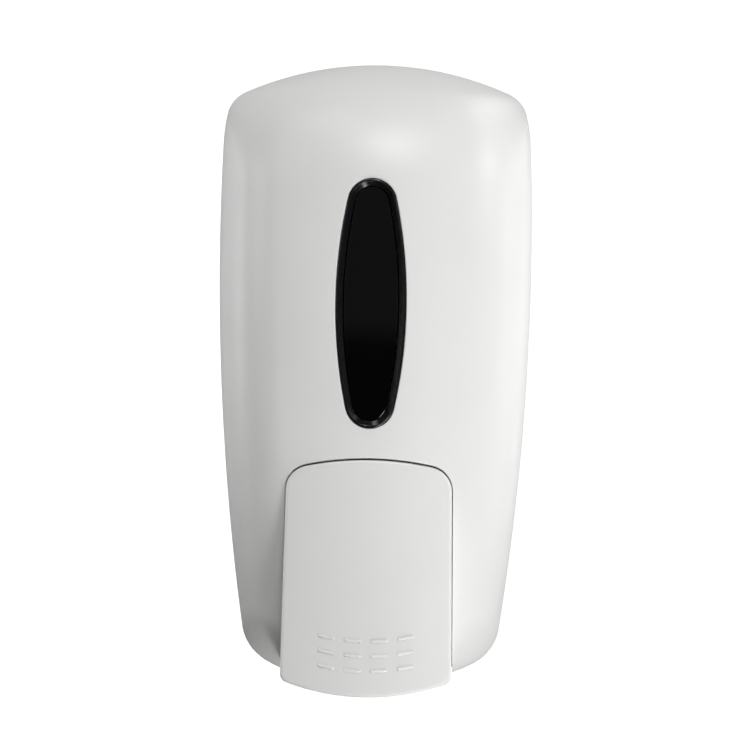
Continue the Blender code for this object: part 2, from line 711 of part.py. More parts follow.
def make_front_cover():
    """Domed shell with the window, the lever's cut-out, hinge ears, lever lugs and the lock's hole."""
    outer = form_loops(0.0)
    inner = form_loops(-COVER_WALL)
    loops = [[tuple(p) for p in loop] for loop in outer]
    count = len(loops[0])
    points, faces = skin(loops)
    back_points, back_faces = skin([[tuple(p) for p in loop] for loop in inner])
    shift = len(points)
    points = points + back_points
    faces = faces + [tuple(i + shift for i in reversed(face)) for face in back_faces]
    for k in range(count):
        n = (k + 1) % count
        faces.append((k, shift + k, shift + n, n))
    cover = node("front_cover", points, faces, curved=True)
    cut(cover, prism("window_hole", window_outline(GAP), "Y", -110.0, -70.0))
    cut(cover, prism("lever_hole", lever_outline(LEVER_GAP, bottom=-135.0, side=LEVER_SIDE_GAP), "Y", -130.0, -CUTOUT_REAR))
    for side in (-1, 1):
        notch = sorted((side * (PLATE_EAR_X[0] - 0.6), side * (PLATE_EAR_X[1] + 0.45)))
        cut(cover, block("notch", (notch[0], -24.0, -130.0), (notch[1], -8.0, -104.0)))
        ears = sorted((side * COVER_EAR_X[0], side * COVER_EAR_X[1]))
        shape = arc(HINGE_Y, HINGE_Z, HINGE_LOBE_R, 0.0, 180.0, 10)
        floor = BOTTOM_Z + float(sag(COVER_EAR_X[0], BOTTOM_RADIUS)) + 1.5
        shape += [(HINGE_Y - HINGE_LOBE_R, floor), (HINGE_Y + HINGE_LOBE_R - 0.2, floor)]
        unite(cover, prism("cover_ear", shape, "X", ears[0], ears[1]))
        lugs = sorted((side * COVER_LUG_X[0], side * COVER_LUG_X[1]))
        wall = -float(front_depth(COVER_LUG_X[1], PIVOT_Z)) + 1.2
        lug = arc(PIVOT_Y, PIVOT_Z, 5.0, 90.0, -90.0, 10)
        lug += [(wall, PIVOT_Z - 5.0), (wall, PIVOT_Z + 5.0)]
        unite(cover, prism("lug", lug, "X", lugs[0], lugs[1]))
        cut(cover, side_hole(side, COVER_EAR_X, HINGE_PIN_R + GAP, HINGE_Y, HINGE_Z))
        cut(cover, side_hole(side, COVER_LUG_X, PIVOT_PIN_R + GAP, PIVOT_Y, PIVOT_Z))
    cut(cover, rod("lock_hole", HOUSING_R + GAP, (0, LOCK_Y, 112), (0, LOCK_Y, 135), steps=28))
    return cover


def make_bezel():
    """Black surround that slopes from the cover's face down to the lens."""
    section = [(0.0, -0.15), (0.7, -0.1), (BEZEL_BAND, LENS_RECESS - 0.3), (BEZEL_BAND, LENS_RECESS + 4.0)]
    section += [(-2.6, LENS_RECESS + 4.0), (-2.6, COVER_WALL + 1.1), (0.0, COVER_WALL + 1.1)]
    loops = []
    for inset, depth in section:
        loop = []
        for x, z in window_outline(-inset):
            level = -float(front_depth(x, z))
            loop.append((x, level + depth, z))
        loops.append(loop)
    points, faces = skin(loops, ring=True)
    return node("window_bezel", points, faces)


def make_lens():
    """Smoked window seated in the bezel."""
    rim = window_outline(-BEZEL_BAND - GAP)
    def shell(depth, shares):
        loops = []
        for share in shares:
            loop = []
            for x, z in rim:
                px = x * share
                pz = WINDOW_Z + (z - WINDOW_Z) * share
                loop.append((px, -float(front_depth(px, pz)) + depth, pz))
            loops.append(loop)
        return loops
    shares = [0.0, 0.5, 1.0]
    loops = shell(LENS_RECESS, shares) + shell(LENS_RECESS + LENS_THICK, list(reversed(shares)))
    points, faces = skin(loops)
    return node("window_lens", points, faces)


def make_lever_pin(side):
    """Headed pin that carries one side of the lever."""
    name = "lever_pin_left" if side < 0 else "lever_pin_right"
    start = LEVER_HALF - LEVER_WALL - GAP
    profile = [(0, -1.8), (3.4, -1.8), (3.4, 0), (PIVOT_PIN_R, 0), (PIVOT_PIN_R, 7.9), (1.5, 8.4), (0, 8.4)]
    return turned(name, profile, (side * start, PIVOT_Y, PIVOT_Z), (side, 0, 0), SMALL_STEPS)


def lever_rear(x, z):
    """How far back the lever's skirt reaches: deep at the sides, shallow along top and bottom."""
    side = float(smoothstep((abs(x) - 23.0) / 7.0))
    edge = -87.0 if z > -75.0 else -101.0
    return side * -72.0 + (1 - side) * edge


def lever_shell(inset, sink):
    """Loops from the skirt's rear edge round the front edge to the middle of the plate."""
    base = lever_outline(-inset)
    middle = (0.0, (LEVER_TOP_Z + LEVER_BOTTOM_Z) / 2)
    loops = [[(x, lever_rear(x, z), z) for x, z in base]]
    edge = max(LEVER_EDGE_ROUND - sink * 0.3, 0.5)
    loops.append([(x, -float(lever_depth(x, z)) + sink + edge, z) for x, z in base])
    for angle in (45.0, 90.0):
        turn = math.radians(angle)
        back = edge * (1 - math.sin(turn))
        inward = edge * (1 - math.cos(turn))
        loop = []
        for x, z in lever_outline(-inset - inward):
            loop.append((x, -float(lever_depth(x, z)) + sink + back, z))
        loops.append(loop)
    rim = lever_outline(-inset - edge)
    for share in (0.86, 0.62, 0.36, 0.0):
        loop = []
        for x, z in rim:
            px = middle[0] + (x - middle[0]) * share
            pz = middle[1] + (z - middle[1]) * share
            loop.append((px, -float(lever_depth(px, pz)) + sink, pz))
        loops.append(loop)
    return loops


def make_lever():
    """Flared push plate with skirts, pin holes and raised grip bars."""
    outer = lever_shell(0.0, 0.0)
    inner = lever_shell(LEVER_WALL, LEVER_WALL)
    loops = list(reversed(outer)) + inner
    points, faces = skin(loops)
    lever = node("push_lever", points, faces, curved=True)
    reach = 45.0
    cut(lever, rod("pin_hole", PIVOT_PIN_R + GAP, (-reach, PIVOT_Y, PIVOT_Z), (reach, PIVOT_Y, PIVOT_Z)))
    unite(lever, grip_tool())
    return lever


def grip_tool():
    """All grip bars as one tool; the rows bow downwards like the lever's lower edge."""
    points = []
    faces = []
    for row in range(GRIP_ROWS):
        for column in range(GRIP_COLUMNS):
            cx = (column - (GRIP_COLUMNS - 1) / 2) * GRIP_PITCH_X
            cz = GRIP_FIRST_Z - row * GRIP_PITCH_Z + float(sag(cx, GRIP_ARC_RADIUS))
            tilt = math.asin(cx / GRIP_ARC_RADIUS)
            start = len(points)
            for level in (-GRIP_HEIGHT, 1.0):
                shrink = 0.25 if level < 0 else 0.0
                for sx, sz in ((-1, -1), (1, -1), (1, 1), (-1, 1)):
                    dx = sx * (GRIP_LENGTH / 2 - shrink)
                    dz = sz * (GRIP_WIDTH / 2 - shrink)
                    x = cx + dx * math.cos(tilt) - dz * math.sin(tilt)
                    z = cz + dx * math.sin(tilt) + dz * math.cos(tilt)
                    points.append((x, -float(lever_depth(x, z)) + level, z))
            a = start
            faces += [(a, a + 1, a + 2, a + 3), (a + 7, a + 6, a + 5, a + 4)]
            for k in range(4):
                n = (k + 1) % 4
                faces.append((a + k, a + 4 + k, a + 4 + n, a + n))
    return node("grip_bars", points, faces, smooth=False)


def make_push_pad():
    """Wedge behind the lever that bears on the piston's cap."""
    shape = [(-90.6, -84.5), (-101.2, -84.5), (-104.2, -99.5), (-90.6, -99.5)]
    return prism("push_pad", shape, "X", -9.0, 9.0)


def make_lock():
    """Bush in the cover, turning barrel with a key slot, cam and its screw."""
    inner = LOCK_R + GAP
    profile = [(inner, 109.0), (HOUSING_R, 109.0), (HOUSING_R, 118.2), (11.0, 118.2), (11.0, 120.5)]
    profile += [(HOUSING_R, 120.5), (HOUSING_R, LOCK_TOP + 0.1), (inner, LOCK_TOP + 0.1)]
    housing = turned("lock_housing", profile, (0, LOCK_Y, 0), (0, 0, 1), closed=True)
    barrel_profile = [(0, LOCK_LOW), (LOCK_R, LOCK_LOW), (LOCK_R, LOCK_TOP - 0.4)]
    barrel_profile += [(LOCK_R - 0.4, LOCK_TOP), (0, LOCK_TOP)]
    barrel = turned("lock_barrel", barrel_profile, (0, LOCK_Y, 0), (0, 0, 1))
    key_low = (-0.9, LOCK_Y - 3.6, LOCK_TOP - 5.0)
    key_high = (0.9, LOCK_Y + 3.6, LOCK_TOP + 2.0)
    cut(barrel, block("key_slot", key_low, key_high))
    cut(barrel, rod("screw_hole", 1.9, (0, LOCK_Y, LOCK_LOW - 1), (0, LOCK_Y, LOCK_LOW + 6), steps=16))
    hub = 6.0
    half = 2.6
    join = math.degrees(math.asin(half / hub))
    shape = arc(0, LOCK_Y, hub, 90.0 + join, 450.0 - join, 18)
    shape += arc(0, LOCK_Y + CAM_REACH - half, half, 0.0, 180.0, 8)
    cam = prism("lock_cam", shape, "Z", LOCK_LOW - GAP - 1.9, LOCK_LOW - GAP)
    cut(cam, rod("cam_hole", 1.9, (0, LOCK_Y, 100), (0, LOCK_Y, 112), steps=16))
    top = LOCK_LOW - GAP - 1.9 - GAP
    screw_profile = [(0, top - 2.0), (2.8, top - 2.0), (3.3, top - 1.4), (3.3, top), (1.5, top)]
    screw_profile += [(1.5, LOCK_LOW + 5.2), (0, LOCK_LOW + 5.2)]
    screw = turned("cam_screw", screw_profile, (0, LOCK_Y, 0), (0, 0, 1), 16)
    return housing, barrel, cam, screw


def set_origin(item, point):
    """Move an object's origin to a point in millimetres; the shape stays where it is."""
    place = Vector(point) * MM
    item.data.transform(Matrix.Translation(-place))
    item.location = place


def build_materials():
    """Colour, roughness, metallic and alpha of each finish."""
    return {
        "white": ((0.83, 0.83, 0.82), 0.42),
        "black": ((0.012, 0.012, 0.013), 0.12),
        "smoke": ((0.02, 0.02, 0.022), 0.05, 0.0, 0.85),
        "clear": ((0.86, 0.9, 0.9), 0.2, 0.0, 0.5),
        "nylon": ((0.72, 0.72, 0.7), 0.5),
        "grey": ((0.4, 0.41, 0.42), 0.5),
        "cap": ((0.2, 0.33, 0.5), 0.45),
        "rubber": ((0.04, 0.04, 0.04), 0.8),
        "silicone": ((0.75, 0.76, 0.76), 0.6),
        "steel": ((0.6, 0.6, 0.61), 0.28, 1.0),
    }


def main():
    clear_scene()
    finishes = build_materials()
    hinge = (0, HINGE_Y, HINGE_Z)
    pivot = (0, PIVOT_Y, PIVOT_Z)
    lock_axis = (0, LOCK_Y, LOCK_LOW)
    stem, seal, cap, spring = make_piston()
    lid, lid_gasket = make_filler_cap()
    housing, barrel, cam, screw = make_lock()
    pieces = [
        (make_back_plate(), "white", None),
        (make_hinge_pin(-1), "steel", None),
        (make_hinge_pin(1), "steel", None),
        (make_lock_keeper(), "steel", None),
        (make_bottle(), "clear", None),
        (make_collar_nut(), "grey", None),
        (make_collar_gasket(), "silicone", None),
        (make_pump_body(), "nylon", None),
        (make_inlet_valve(), "silicone", None),
        (make_duckbill(), "silicone", None),
        (make_nozzle_tip(), "grey", None),
        (stem, "nylon", None),
        (seal, "rubber", None),
        (cap, "nylon", None),
        (spring, "steel", None),
        (lid, "cap", None),
        (lid_gasket, "rubber", None),
        (make_front_cover(), "white", hinge),
        (make_bezel(), "black", hinge),
        (make_lens(), "smoke", hinge),
        (make_lever_pin(-1), "steel", hinge),
        (make_lever_pin(1), "steel", hinge),
        (housing, "nylon", hinge),
        (make_lever(), "white", pivot),
        (make_push_pad(), "grey", pivot),
        (barrel, "steel", lock_axis),
        (cam, "steel", lock_axis),
        (screw, "steel", lock_axis),
    ]
    for item, key, origin in pieces:
        item.data.materials.clear()
        item.data.materials.append(principled(item.name + "_finish", *finishes[key]))
        if origin:
            set_origin(item, origin)


main()
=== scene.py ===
"""Looks of the wall mounted soap dispenser: fine shells, moulded and metal finishes, studio light.

Sizes are in millimetres and are turned into metres when a mesh is made.
X is to the right, -Y is to the front, +Z is up, and the wall is the plane y = 0.
"""

import math

import bmesh
import bpy
import numpy as np
from mathutils import Matrix, Vector


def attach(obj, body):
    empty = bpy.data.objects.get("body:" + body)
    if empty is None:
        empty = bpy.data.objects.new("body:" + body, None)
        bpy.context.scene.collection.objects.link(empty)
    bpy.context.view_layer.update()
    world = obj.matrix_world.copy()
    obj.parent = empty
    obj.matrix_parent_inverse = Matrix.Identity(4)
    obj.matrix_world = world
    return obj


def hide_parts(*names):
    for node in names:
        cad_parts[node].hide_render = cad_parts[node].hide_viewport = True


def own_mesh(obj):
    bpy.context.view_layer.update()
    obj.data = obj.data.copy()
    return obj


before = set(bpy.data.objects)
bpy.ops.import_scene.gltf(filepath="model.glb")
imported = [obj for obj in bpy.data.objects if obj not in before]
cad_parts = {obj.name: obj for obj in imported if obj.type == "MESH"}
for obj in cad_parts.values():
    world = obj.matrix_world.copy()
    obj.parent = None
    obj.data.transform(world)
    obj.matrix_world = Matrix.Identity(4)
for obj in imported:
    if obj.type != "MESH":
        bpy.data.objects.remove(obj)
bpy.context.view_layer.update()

MM = 0.001
GAP = 0.3

# Outer form of the cover
SIDE_HALF = 62.5
SIDE_WIDEST_Z = 51.0
SIDE_RADIUS = 1010.0
TOP_CORNER_START_Z = 92.5
TOP_CORNER_RADIUS = 60.0
TOP_Z = 124.8
TOP_RADIUS = 130.0
TOP_FLAT_DEPTH = 25.0
DOME_RADIUS = 90.0
BOTTOM_Z = -120.5
BOTTOM_RADIUS = 131.0
FRONT_DEPTH = 98.0
FRONT_CREST_Z = 20.0
FRONT_RADIUS_V = 900.0
FRONT_RADIUS_H = 90.0
CORNER_ROUND = 27.0
REAR_EDGE_ROUND = 4.0
SHOULDER_ROUND = 20.0
BOTTOM_ROUND = 20.0
BOTTOM_REAR_ROUND = 8.0
COVER_WALL = 2.5
COVER_REAR = 13.0
SPINE_LOW = -60.0
SPINE_HIGH = 62.0

# Fineness of the cover
HALF_COLUMNS = 110
SIDE_ROWS = 24
FRONT_ROWS = 26
INNER_ROWS = 9
EDGE_ROUND = 0.6

# Back plate
PLATE_INSET = 0.6
PLATE_RIM_WALL = 2.2
PLATE_RIM_DEPTH = 12.6
PLATE_FLOOR = 2.5
PLATE_LOW_RIM_DEPTH = 6.2
PLATE_LOW_RIM_Z = -104.0
KEYHOLE_X = 27.0
KEYHOLE_Z = 60.0
KEYHOLE_HEAD_R = 5.0
KEYHOLE_SLOT_R = 2.6
KEYHOLE_SLOT_RISE = 9.0
LOW_SLOT_Z = -72.0
SHELF_TOP = -47.2
SHELF_THICK = 2.6
SHELF_HALF = 32.0
SHELF_REACH = 60.0

# Cover hinge at the foot
HINGE_Y = -17.0
HINGE_Z = -111.0
HINGE_PIN_R = 2.0
HINGE_LOBE_R = 4.2
PLATE_EAR_X = (18.4, 22.6)
COVER_EAR_X = (23.2, 27.2)

# Sight window
WINDOW_Z = 27.2
WINDOW_HALF_HEIGHT = 47.3
WINDOW_HALF_WIDTH = 13.25
WINDOW_END_R = 9.2
WINDOW_STEPS = 160
BEZEL_BAND = 2.7
LENS_RECESS = 2.3
LENS_GAP = 0.03
LENS_THICK = 1.6

# Push lever
LEVER_HALF = 31.75
LEVER_TOP_Z = -32.4
LEVER_BOTTOM_Z = -121.0
LEVER_TOP_RADIUS = 112.0
LEVER_BOTTOM_RADIUS = 100.0
LEVER_TOP_CORNER = 9.5
LEVER_BOTTOM_CORNER = 3.6
LEVER_GAP = 0.7
LEVER_SIDE_GAP = 0.35
LEVER_TAPER = 0.0075
LEVER_WALL = 2.4
LEVER_PROUD = 0.3
LEVER_FLARE = 15.5
LEVER_FLARE_POWER = 1.3
LEVER_EDGE_ROUND = 1.3
CUTOUT_REAR = 38.0
CUTOUT_FLOOR = -135.0
CUTOUT_TURN_Z = -58.0
PIVOT_Y = -78.0
PIVOT_Z = -48.5
PIVOT_PIN_R = 2.0
COVER_LUG_X = (33.3, 36.3)
GRIP_ROWS = 3
GRIP_COLUMNS = 4
GRIP_PITCH_X = 10.0
GRIP_PITCH_Z = 5.5
GRIP_FIRST_Z = -100.2
GRIP_LENGTH = 6.4
GRIP_WIDTH = 1.15
GRIP_HEIGHT = 0.6
GRIP_ARC_RADIUS = 84.0

# Bottle
BOTTLE_Y = -42.0
BOTTLE_HALF_X = 50.0
BOTTLE_HALF_Y = 36.0
BOTTLE_LOW = -39.0
BOTTLE_HIGH = 82.0
BOTTLE_ROUND = 20.0
BOTTLE_WALL = 1.5
NECK_R = 14.0
NECK_LOW = -62.0
FILLER_Y = -48.0
FILLER_R = 11.0
FILLER_HIGH = 91.0

# Pump
PUMP_Z = -92.0
PUMP_TUBE_R = 12.0
PUMP_BORE_R = 8.5
PUMP_REAR = -30.0
PUMP_FRONT = -74.0
BORE_REAR = -36.0
PISTON_BACK = -62.0
SPOUT_Y = -50.0
SPOUT_R = 6.5
SPOUT_LOW = -112.0
SPOUT_BORE_R = 3.6
INLET_R = 11.0

# Lock
LOCK_Y = -24.0
LOCK_R = 6.0
LOCK_TOP = 124.0
LOCK_LOW = 106.4
HOUSING_R = 8.2
CAM_REACH = 14.5

# Looks
COVER_WHITE = (0.8, 0.8, 0.79)
COVER_ROUGHNESS = 0.42
NYLON = (0.72, 0.72, 0.7)
GREY = (0.4, 0.41, 0.42)
SILICONE = (0.75, 0.76, 0.76)
BLACK = (0.04, 0.04, 0.04)
FLOOR_Z = -0.34
SWEEP_RADIUS = 2.4
SWEEP_CURVE = 0.8
SWEEP_GLOW = 1.0
SKY_UPPER = 0.12
SKY_LOWER = 0.02

# Soft boxes: name, azimuth, elevation, distance, width, height, power
LIGHTS = [
    ("low_key", 28, -45, 1.8, 0.5, 0.5, 12.2),
    ("low_front", 30, -24, 1.8, 0.45, 0.45, 6.5),
    ("low_right", 56, -62, 1.8, 0.35, 0.35, 9.6),
    ("high_front", 10, 50, 1.8, 0.35, 0.35, 14.5),
    ("high_left", -45, 66, 1.8, 0.35, 0.35, 4.6),
    ("side_right", 90, 24, 1.8, 0.5, 0.7, 7.4),
    ("top_right", 120, 48, 1.8, 0.5, 0.5, 4.2),
    ("rear_right", 122, 4, 1.8, 0.5, 0.8, 4.9),
    ("behind_right", 148, 2, 1.8, 0.35, 0.6, 2.3),
    ("side_left", -90, 12, 1.8, 0.5, 0.5, 5.7),
    ("rear_left", -122, 4, 1.8, 0.5, 0.8, 6.4),
    ("behind_left", -148, 2, 1.8, 0.35, 0.6, 1.3),
]

# Camera, in metres
CAMERA_PLACE = (0.031, -1.2, 0.0)
CAMERA_AIM = (-0.0006, 0.0, 0.0)
CAMERA_ROLL = 0.75
CAMERA_LENS = 139.5


# -------- mesh helpers

def link(name, data):
    """Make an object of some data and put it in the scene."""
    item = bpy.data.objects.new(name, data)
    bpy.context.scene.collection.objects.link(item)
    return item


def node(name, points, faces, curved=False):
    """Make one mesh object from points in millimetres."""
    mesh = bpy.data.meshes.new(name)
    mesh.from_pydata([tuple(float(c) * MM for c in p) for p in points], [], faces)
    form = bmesh.new()
    form.from_mesh(mesh)
    bmesh.ops.remove_doubles(form, verts=form.verts, dist=1e-6)
    bmesh.ops.recalc_face_normals(form, faces=form.faces)
    if curved:
        bmesh.ops.triangulate(form, faces=form.faces)
    if form.calc_volume(signed=True) < 0:
        bmesh.ops.reverse_faces(form, faces=form.faces)
    form.to_mesh(mesh)
    form.free()
    return link(name, mesh)


def skin(loops, ring=False, capped=False):
    """Join equal loops of points into faces; a ring also joins the last loop to the first."""
    count = len(loops[0])
    points = [p for loop in loops for p in loop]
    faces = []
    for i in range(len(loops) if ring else len(loops) - 1):
        a = i * count
        b = ((i + 1) % len(loops)) * count
        faces += [(a + k, a + (k + 1) % count, b + (k + 1) % count, b + k) for k in range(count)]
    if capped:
        faces.append(tuple(reversed(range(count))))
        faces.append(tuple(range(len(points) - count, len(points))))
    return points, faces


def shell(name, loops, ring=False, capped=False, curved=False):
    """Skin loops of points into one mesh object."""
    return node(name, *skin(loops, ring, capped), curved)


def merge(tools):
    """Join several tools into one object."""
    points = []
    faces = []
    for tool in tools:
        shift = len(points)
        points += [v.co / MM for v in tool.data.vertices]
        faces += [tuple(i + shift for i in p.vertices) for p in tool.data.polygons]
        bpy.data.objects.remove(tool, do_unlink=True)
    mesh = bpy.data.meshes.new("tools")
    mesh.from_pydata([tuple(p * MM) for p in points], [], faces)
    return link("tools", mesh)


def boolean(target, tools, operation):
    """Apply an exact Boolean of the tools to the target and remove them."""
    tool = tools[0] if len(tools) == 1 else merge(tools)
    step = target.modifiers.new("step", "BOOLEAN")
    step.operation = operation
    step.solver = "EXACT"
    step.object = tool
    bpy.context.view_layer.update()
    graph = bpy.context.evaluated_depsgraph_get()
    result = bpy.data.meshes.new_from_object(target.evaluated_get(graph))
    old = target.data
    target.modifiers.clear()
    target.data = result
    bpy.data.meshes.remove(old)
    bpy.data.objects.remove(tool, do_unlink=True)
    result.name = target.name
    form = bmesh.new()
    form.from_mesh(result)
    bmesh.ops.remove_doubles(form, verts=form.verts, dist=2e-6)
    bmesh.ops.dissolve_degenerate(form, edges=form.edges, dist=1e-6)
    form.to_mesh(result)
    form.free()


def cut(target, *tools):
    boolean(target, tools, "DIFFERENCE")


def unite(target, *tools):
    boolean(target, tools, "UNION")


def sharpen(item, angle):
    """Shade smooth, with breaks at edges sharper than the angle."""
    mesh = item.data
    for face in mesh.polygons:
        face.use_smooth = True
    form = bmesh.new()
    form.from_mesh(mesh)
    limit = math.radians(angle)
    for edge in form.edges:
        if len(edge.link_faces) == 2:
            edge.smooth = edge.calc_face_angle(0.0) < limit
    form.to_mesh(mesh)
    form.free()
    return item


def crisp(item, angle=32.0):
    """Smooth shading weighted by face area, with breaks at sharp edges."""
    sharpen(item, angle)
    weigh = item.modifiers.new("shade", "WEIGHTED_NORMAL")
    weigh.keep_sharp = True
    weigh.weight = 60
    return item


def softened(profile, radius, closed=False, steps=3):
    """Round every corner of a profile of (radius, height) that isn't on the axis."""
    last = len(profile) - 1
    out = []
    for i, p in enumerate(profile):
        here = Vector(p)
        a = Vector(profile[i - 1]) - here
        b = Vector(profile[0 if i == last else i + 1]) - here
        kept = (not closed and i in (0, last)) or min(a.length, b.length) < 1e-6
        bend = 0.0 if kept else math.pi - a.angle(b)
        if bend < math.radians(12):
            out.append(tuple(here))
            continue
        reach = min(radius * math.tan(bend / 2), a.length * 0.45, b.length * 0.45)
        start = here + a.normalized() * reach
        end = here + b.normalized() * reach
        for k in range(steps + 1):
            t = k / steps
            out.append(tuple(start * (1 - t) ** 2 + here * (2 * t * (1 - t)) + end * t ** 2))
    return out


def circle(steps, phase=0.0):
    """Evenly spaced angles all the way round."""
    return [2 * math.pi * (k + phase) / steps for k in range(steps)]


def turned(name, profile, centre, axis=(0, 0, 1), steps=64, closed=False, edge=0.25):
    """Turn a profile of (radius, height) about an axis, with its corners rounded."""
    if edge:
        profile = softened(profile, edge, closed)
    along = Vector(axis).normalized()
    side = along.orthogonal().normalized()
    if abs(along.z) < 0.5:
        side = Vector((0, 0, 1))
    other = along.cross(side)

    def loop(radius, height):
        middle = Vector(centre) + along * height
        ways = [(radius * math.cos(a), radius * math.sin(a)) for a in circle(steps)]
        return [tuple(middle + (side * u + other * v)) for u, v in ways]

    return shell(name, [loop(*p) for p in profile], ring=closed)


def rod(name, radius, start, end, steps=48):
    """A plain round rod between two points."""
    a = Vector(start)
    b = Vector(end)
    length = (b - a).length
    return turned(name, [(0, 0), (radius, 0), (radius, length), (0, length)], a, b - a, steps, edge=0.0)


def block(name, low, high):
    """A box between two corners, used as a tool."""
    points = [(x, y, z) for x in (low[0], high[0]) for y in (low[1], high[1]) for z in (low[2], high[2])]
    faces = [(0, 1, 3, 2), (4, 6, 7, 5), (0, 4, 5, 1), (2, 3, 7, 6), (0, 2, 6, 4), (1, 5, 7, 3)]
    return node(name, points, faces)


def prism(name, shape, axis, low, high):
    """Extrude a flat shape along X, Y or Z; the shape gives the other two coordinates in order."""
    slot = "XYZ".index(axis)
    return shell(name, [[(*p[:slot], h, *p[slot:]) for p in shape] for h in (low, high)], capped=True)


def across(name, shape, side, span):
    """Extrude a shape along X over a span of distances to one side of the middle."""
    return prism(name, shape, "X", *sorted((side * span[0], side * span[1])))


def bevelled(item, width=0.35, segments=2):
    """Round the edges of a cut or pressed piece."""
    bevel = item.modifiers.new("edge", "BEVEL")
    bevel.width = width * MM
    bevel.segments = segments
    bevel.limit_method = "ANGLE"
    bevel.angle_limit = math.radians(35)
    return crisp(item)


def arc(cx, cy, radius, start, end, steps):
    """Points on an arc, angles in degrees, both ends included."""
    angles = [math.radians(start + (end - start) * k / steps) for k in range(steps + 1)]
    return [(cx + radius * math.cos(a), cy + radius * math.sin(a)) for a in angles]


# -------- form of the cover

def smoothstep(t):
    t = np.clip(t, 0.0, 1.0)
    return t * t * (3.0 - 2.0 * t)


def round_meet(a, b, radius):
    """Distance to the meeting of two forms with a rounded edge; negative is inside."""
    corner = np.hypot(np.maximum(a + radius, 0.0), np.maximum(b + radius, 0.0))
    return np.minimum(-radius, np.maximum(a, b)) + corner


def sag(x, radius):
    """How far an arc has dropped at a distance from its middle."""
    reach = np.minimum(np.abs(x), 0.95 * radius)
    return radius - np.sqrt(radius * radius - reach * reach)


def sag_slope(x, radius):
    reach = np.minimum(np.abs(x), 0.95 * radius)
    return reach / np.sqrt(radius * radius - reach * reach)


def half_width(z):
    """Half width of the cover at a height."""
    bend = sag(np.maximum(z - TOP_CORNER_START_Z, 0.0), TOP_CORNER_RADIUS)
    return SIDE_HALF - (z - SIDE_WIDEST_Z) ** 2 / (2 * SIDE_RADIUS) - bend


def front_depth(x, z):
    """Distance of the cover's front from the wall."""
    return FRONT_DEPTH - (z - FRONT_CREST_Z) ** 2 / (2 * FRONT_RADIUS_V) - sag(x, FRONT_RADIUS_H)


def body_field(x, y, z):
    """Signed distance to the outer form of the cover."""
    side = np.abs(x) - half_width(z)
    front = (-y - front_depth(x, z)) / np.sqrt(1 + sag_slope(x, FRONT_RADIUS_H) ** 2)
    fall = np.maximum(-y - TOP_FLAT_DEPTH, 0.0)
    steep = np.sqrt(1 + sag_slope(x, TOP_RADIUS) ** 2 + (fall / DOME_RADIUS) ** 2)
    top = (z - TOP_Z + sag(x, TOP_RADIUS) + fall ** 2 / (2 * DOME_RADIUS)) / steep
    low_steep = np.sqrt(1 + sag_slope(x, BOTTOM_RADIUS) ** 2)
    bottom = (BOTTOM_Z + sag(x, BOTTOM_RADIUS) - z) / low_steep
    blend = smoothstep((-y - 40.0) / 35.0)
    top_round = REAR_EDGE_ROUND + (SHOULDER_ROUND - REAR_EDGE_ROUND) * blend
    low_round = BOTTOM_REAR_ROUND + (BOTTOM_ROUND - BOTTOM_REAR_ROUND) * blend
    form = round_meet(side, front, CORNER_ROUND)
    form = round_meet(form, top, top_round)
    return round_meet(form, bottom, low_round)


def unit(rows):
    """Rows of an array made one long."""
    return rows / np.linalg.norm(rows, axis=1)[:, None]


def field_normal(points):
    """Outward direction of the form at points."""
    p = np.asarray(points, float)
    grad = np.zeros_like(p)
    for axis, step in enumerate(np.eye(3) * 0.05):
        grad[:, axis] = body_field(*(p + step).T) - body_field(*(p - step).T)
    return unit(grad)


def solve(origin, direction, level, reach=260.0, steps=40):
    """Walk along rays to where the form's distance equals the level."""
    low = np.zeros(len(origin))
    high = np.full(len(origin), reach)
    for _ in range(steps):
        mid = (low + high) / 2
        inside = body_field(*(origin + direction * mid[:, None]).T) < level
        low = np.where(inside, mid, low)
        high = np.where(inside, high, mid)
    return origin + direction * low[:, None]


def spine(heights):
    """Points on the body's middle line, in the plane of the cover's rear edge."""
    return np.stack([np.zeros(len(heights)), np.full(len(heights), -COVER_REAR), heights], axis=1)


def rays_to(loop):
    """Spine origins and unit directions towards outline points (x, z)."""
    x, z = np.asarray(loop, float).T
    heights = np.clip(z, SPINE_LOW, SPINE_HIGH)
    return spine(heights), unit(np.stack([x, np.zeros(len(x)), z - heights], axis=1))


def spread(points, count, bend_pull=6.0):
    """Resample an open line evenly, closer together where it bends."""
    p = np.asarray(points, float)
    step = np.diff(p, axis=0)
    length = np.linalg.norm(step, axis=1)
    heading = np.unwrap(np.arctan2(step[:, 1], step[:, 0]))
    turn = np.zeros(len(length))
    turn[1:] = np.abs(np.diff(heading))
    weight = length + bend_pull * np.convolve(turn, np.ones(5) / 5, mode="same")
    reach = np.concatenate([[0.0], np.cumsum(weight)])
    want = np.linspace(0.0, reach[-1], count + 1)
    return np.stack([np.interp(want, reach, p[:, 0]), np.interp(want, reach, p[:, 1])], axis=1)


def body_outline(level, half_columns=HALF_COLUMNS):
    """The form's outline at the cover's rear edge as (x, z), counter-clockwise from the foot."""
    fan = 400
    angles = np.radians(np.concatenate([np.linspace(-90, 0, fan), np.linspace(0, 90, fan)]))
    aim = np.stack([np.cos(angles), np.zeros(2 * fan), np.sin(angles)], axis=1)
    found = solve(spine(np.repeat([SPINE_LOW, SPINE_HIGH], fan)), aim, level)
    side_z = np.linspace(SPINE_LOW, SPINE_HIGH, 122)[1:-1]
    sides = solve(spine(side_z), np.tile([1.0, 0.0, 0.0], (len(side_z), 1)), level)
    line = np.concatenate([found[:fan], sides, found[fan:]])[:, [0, 2]]
    line[[0, -1], 0] = 0.0
    half = spread(line, half_columns)
    half[[0, -1], 0] = 0.0
    return np.concatenate([half, half[-2:0:-1] * np.array([-1.0, 1.0])])


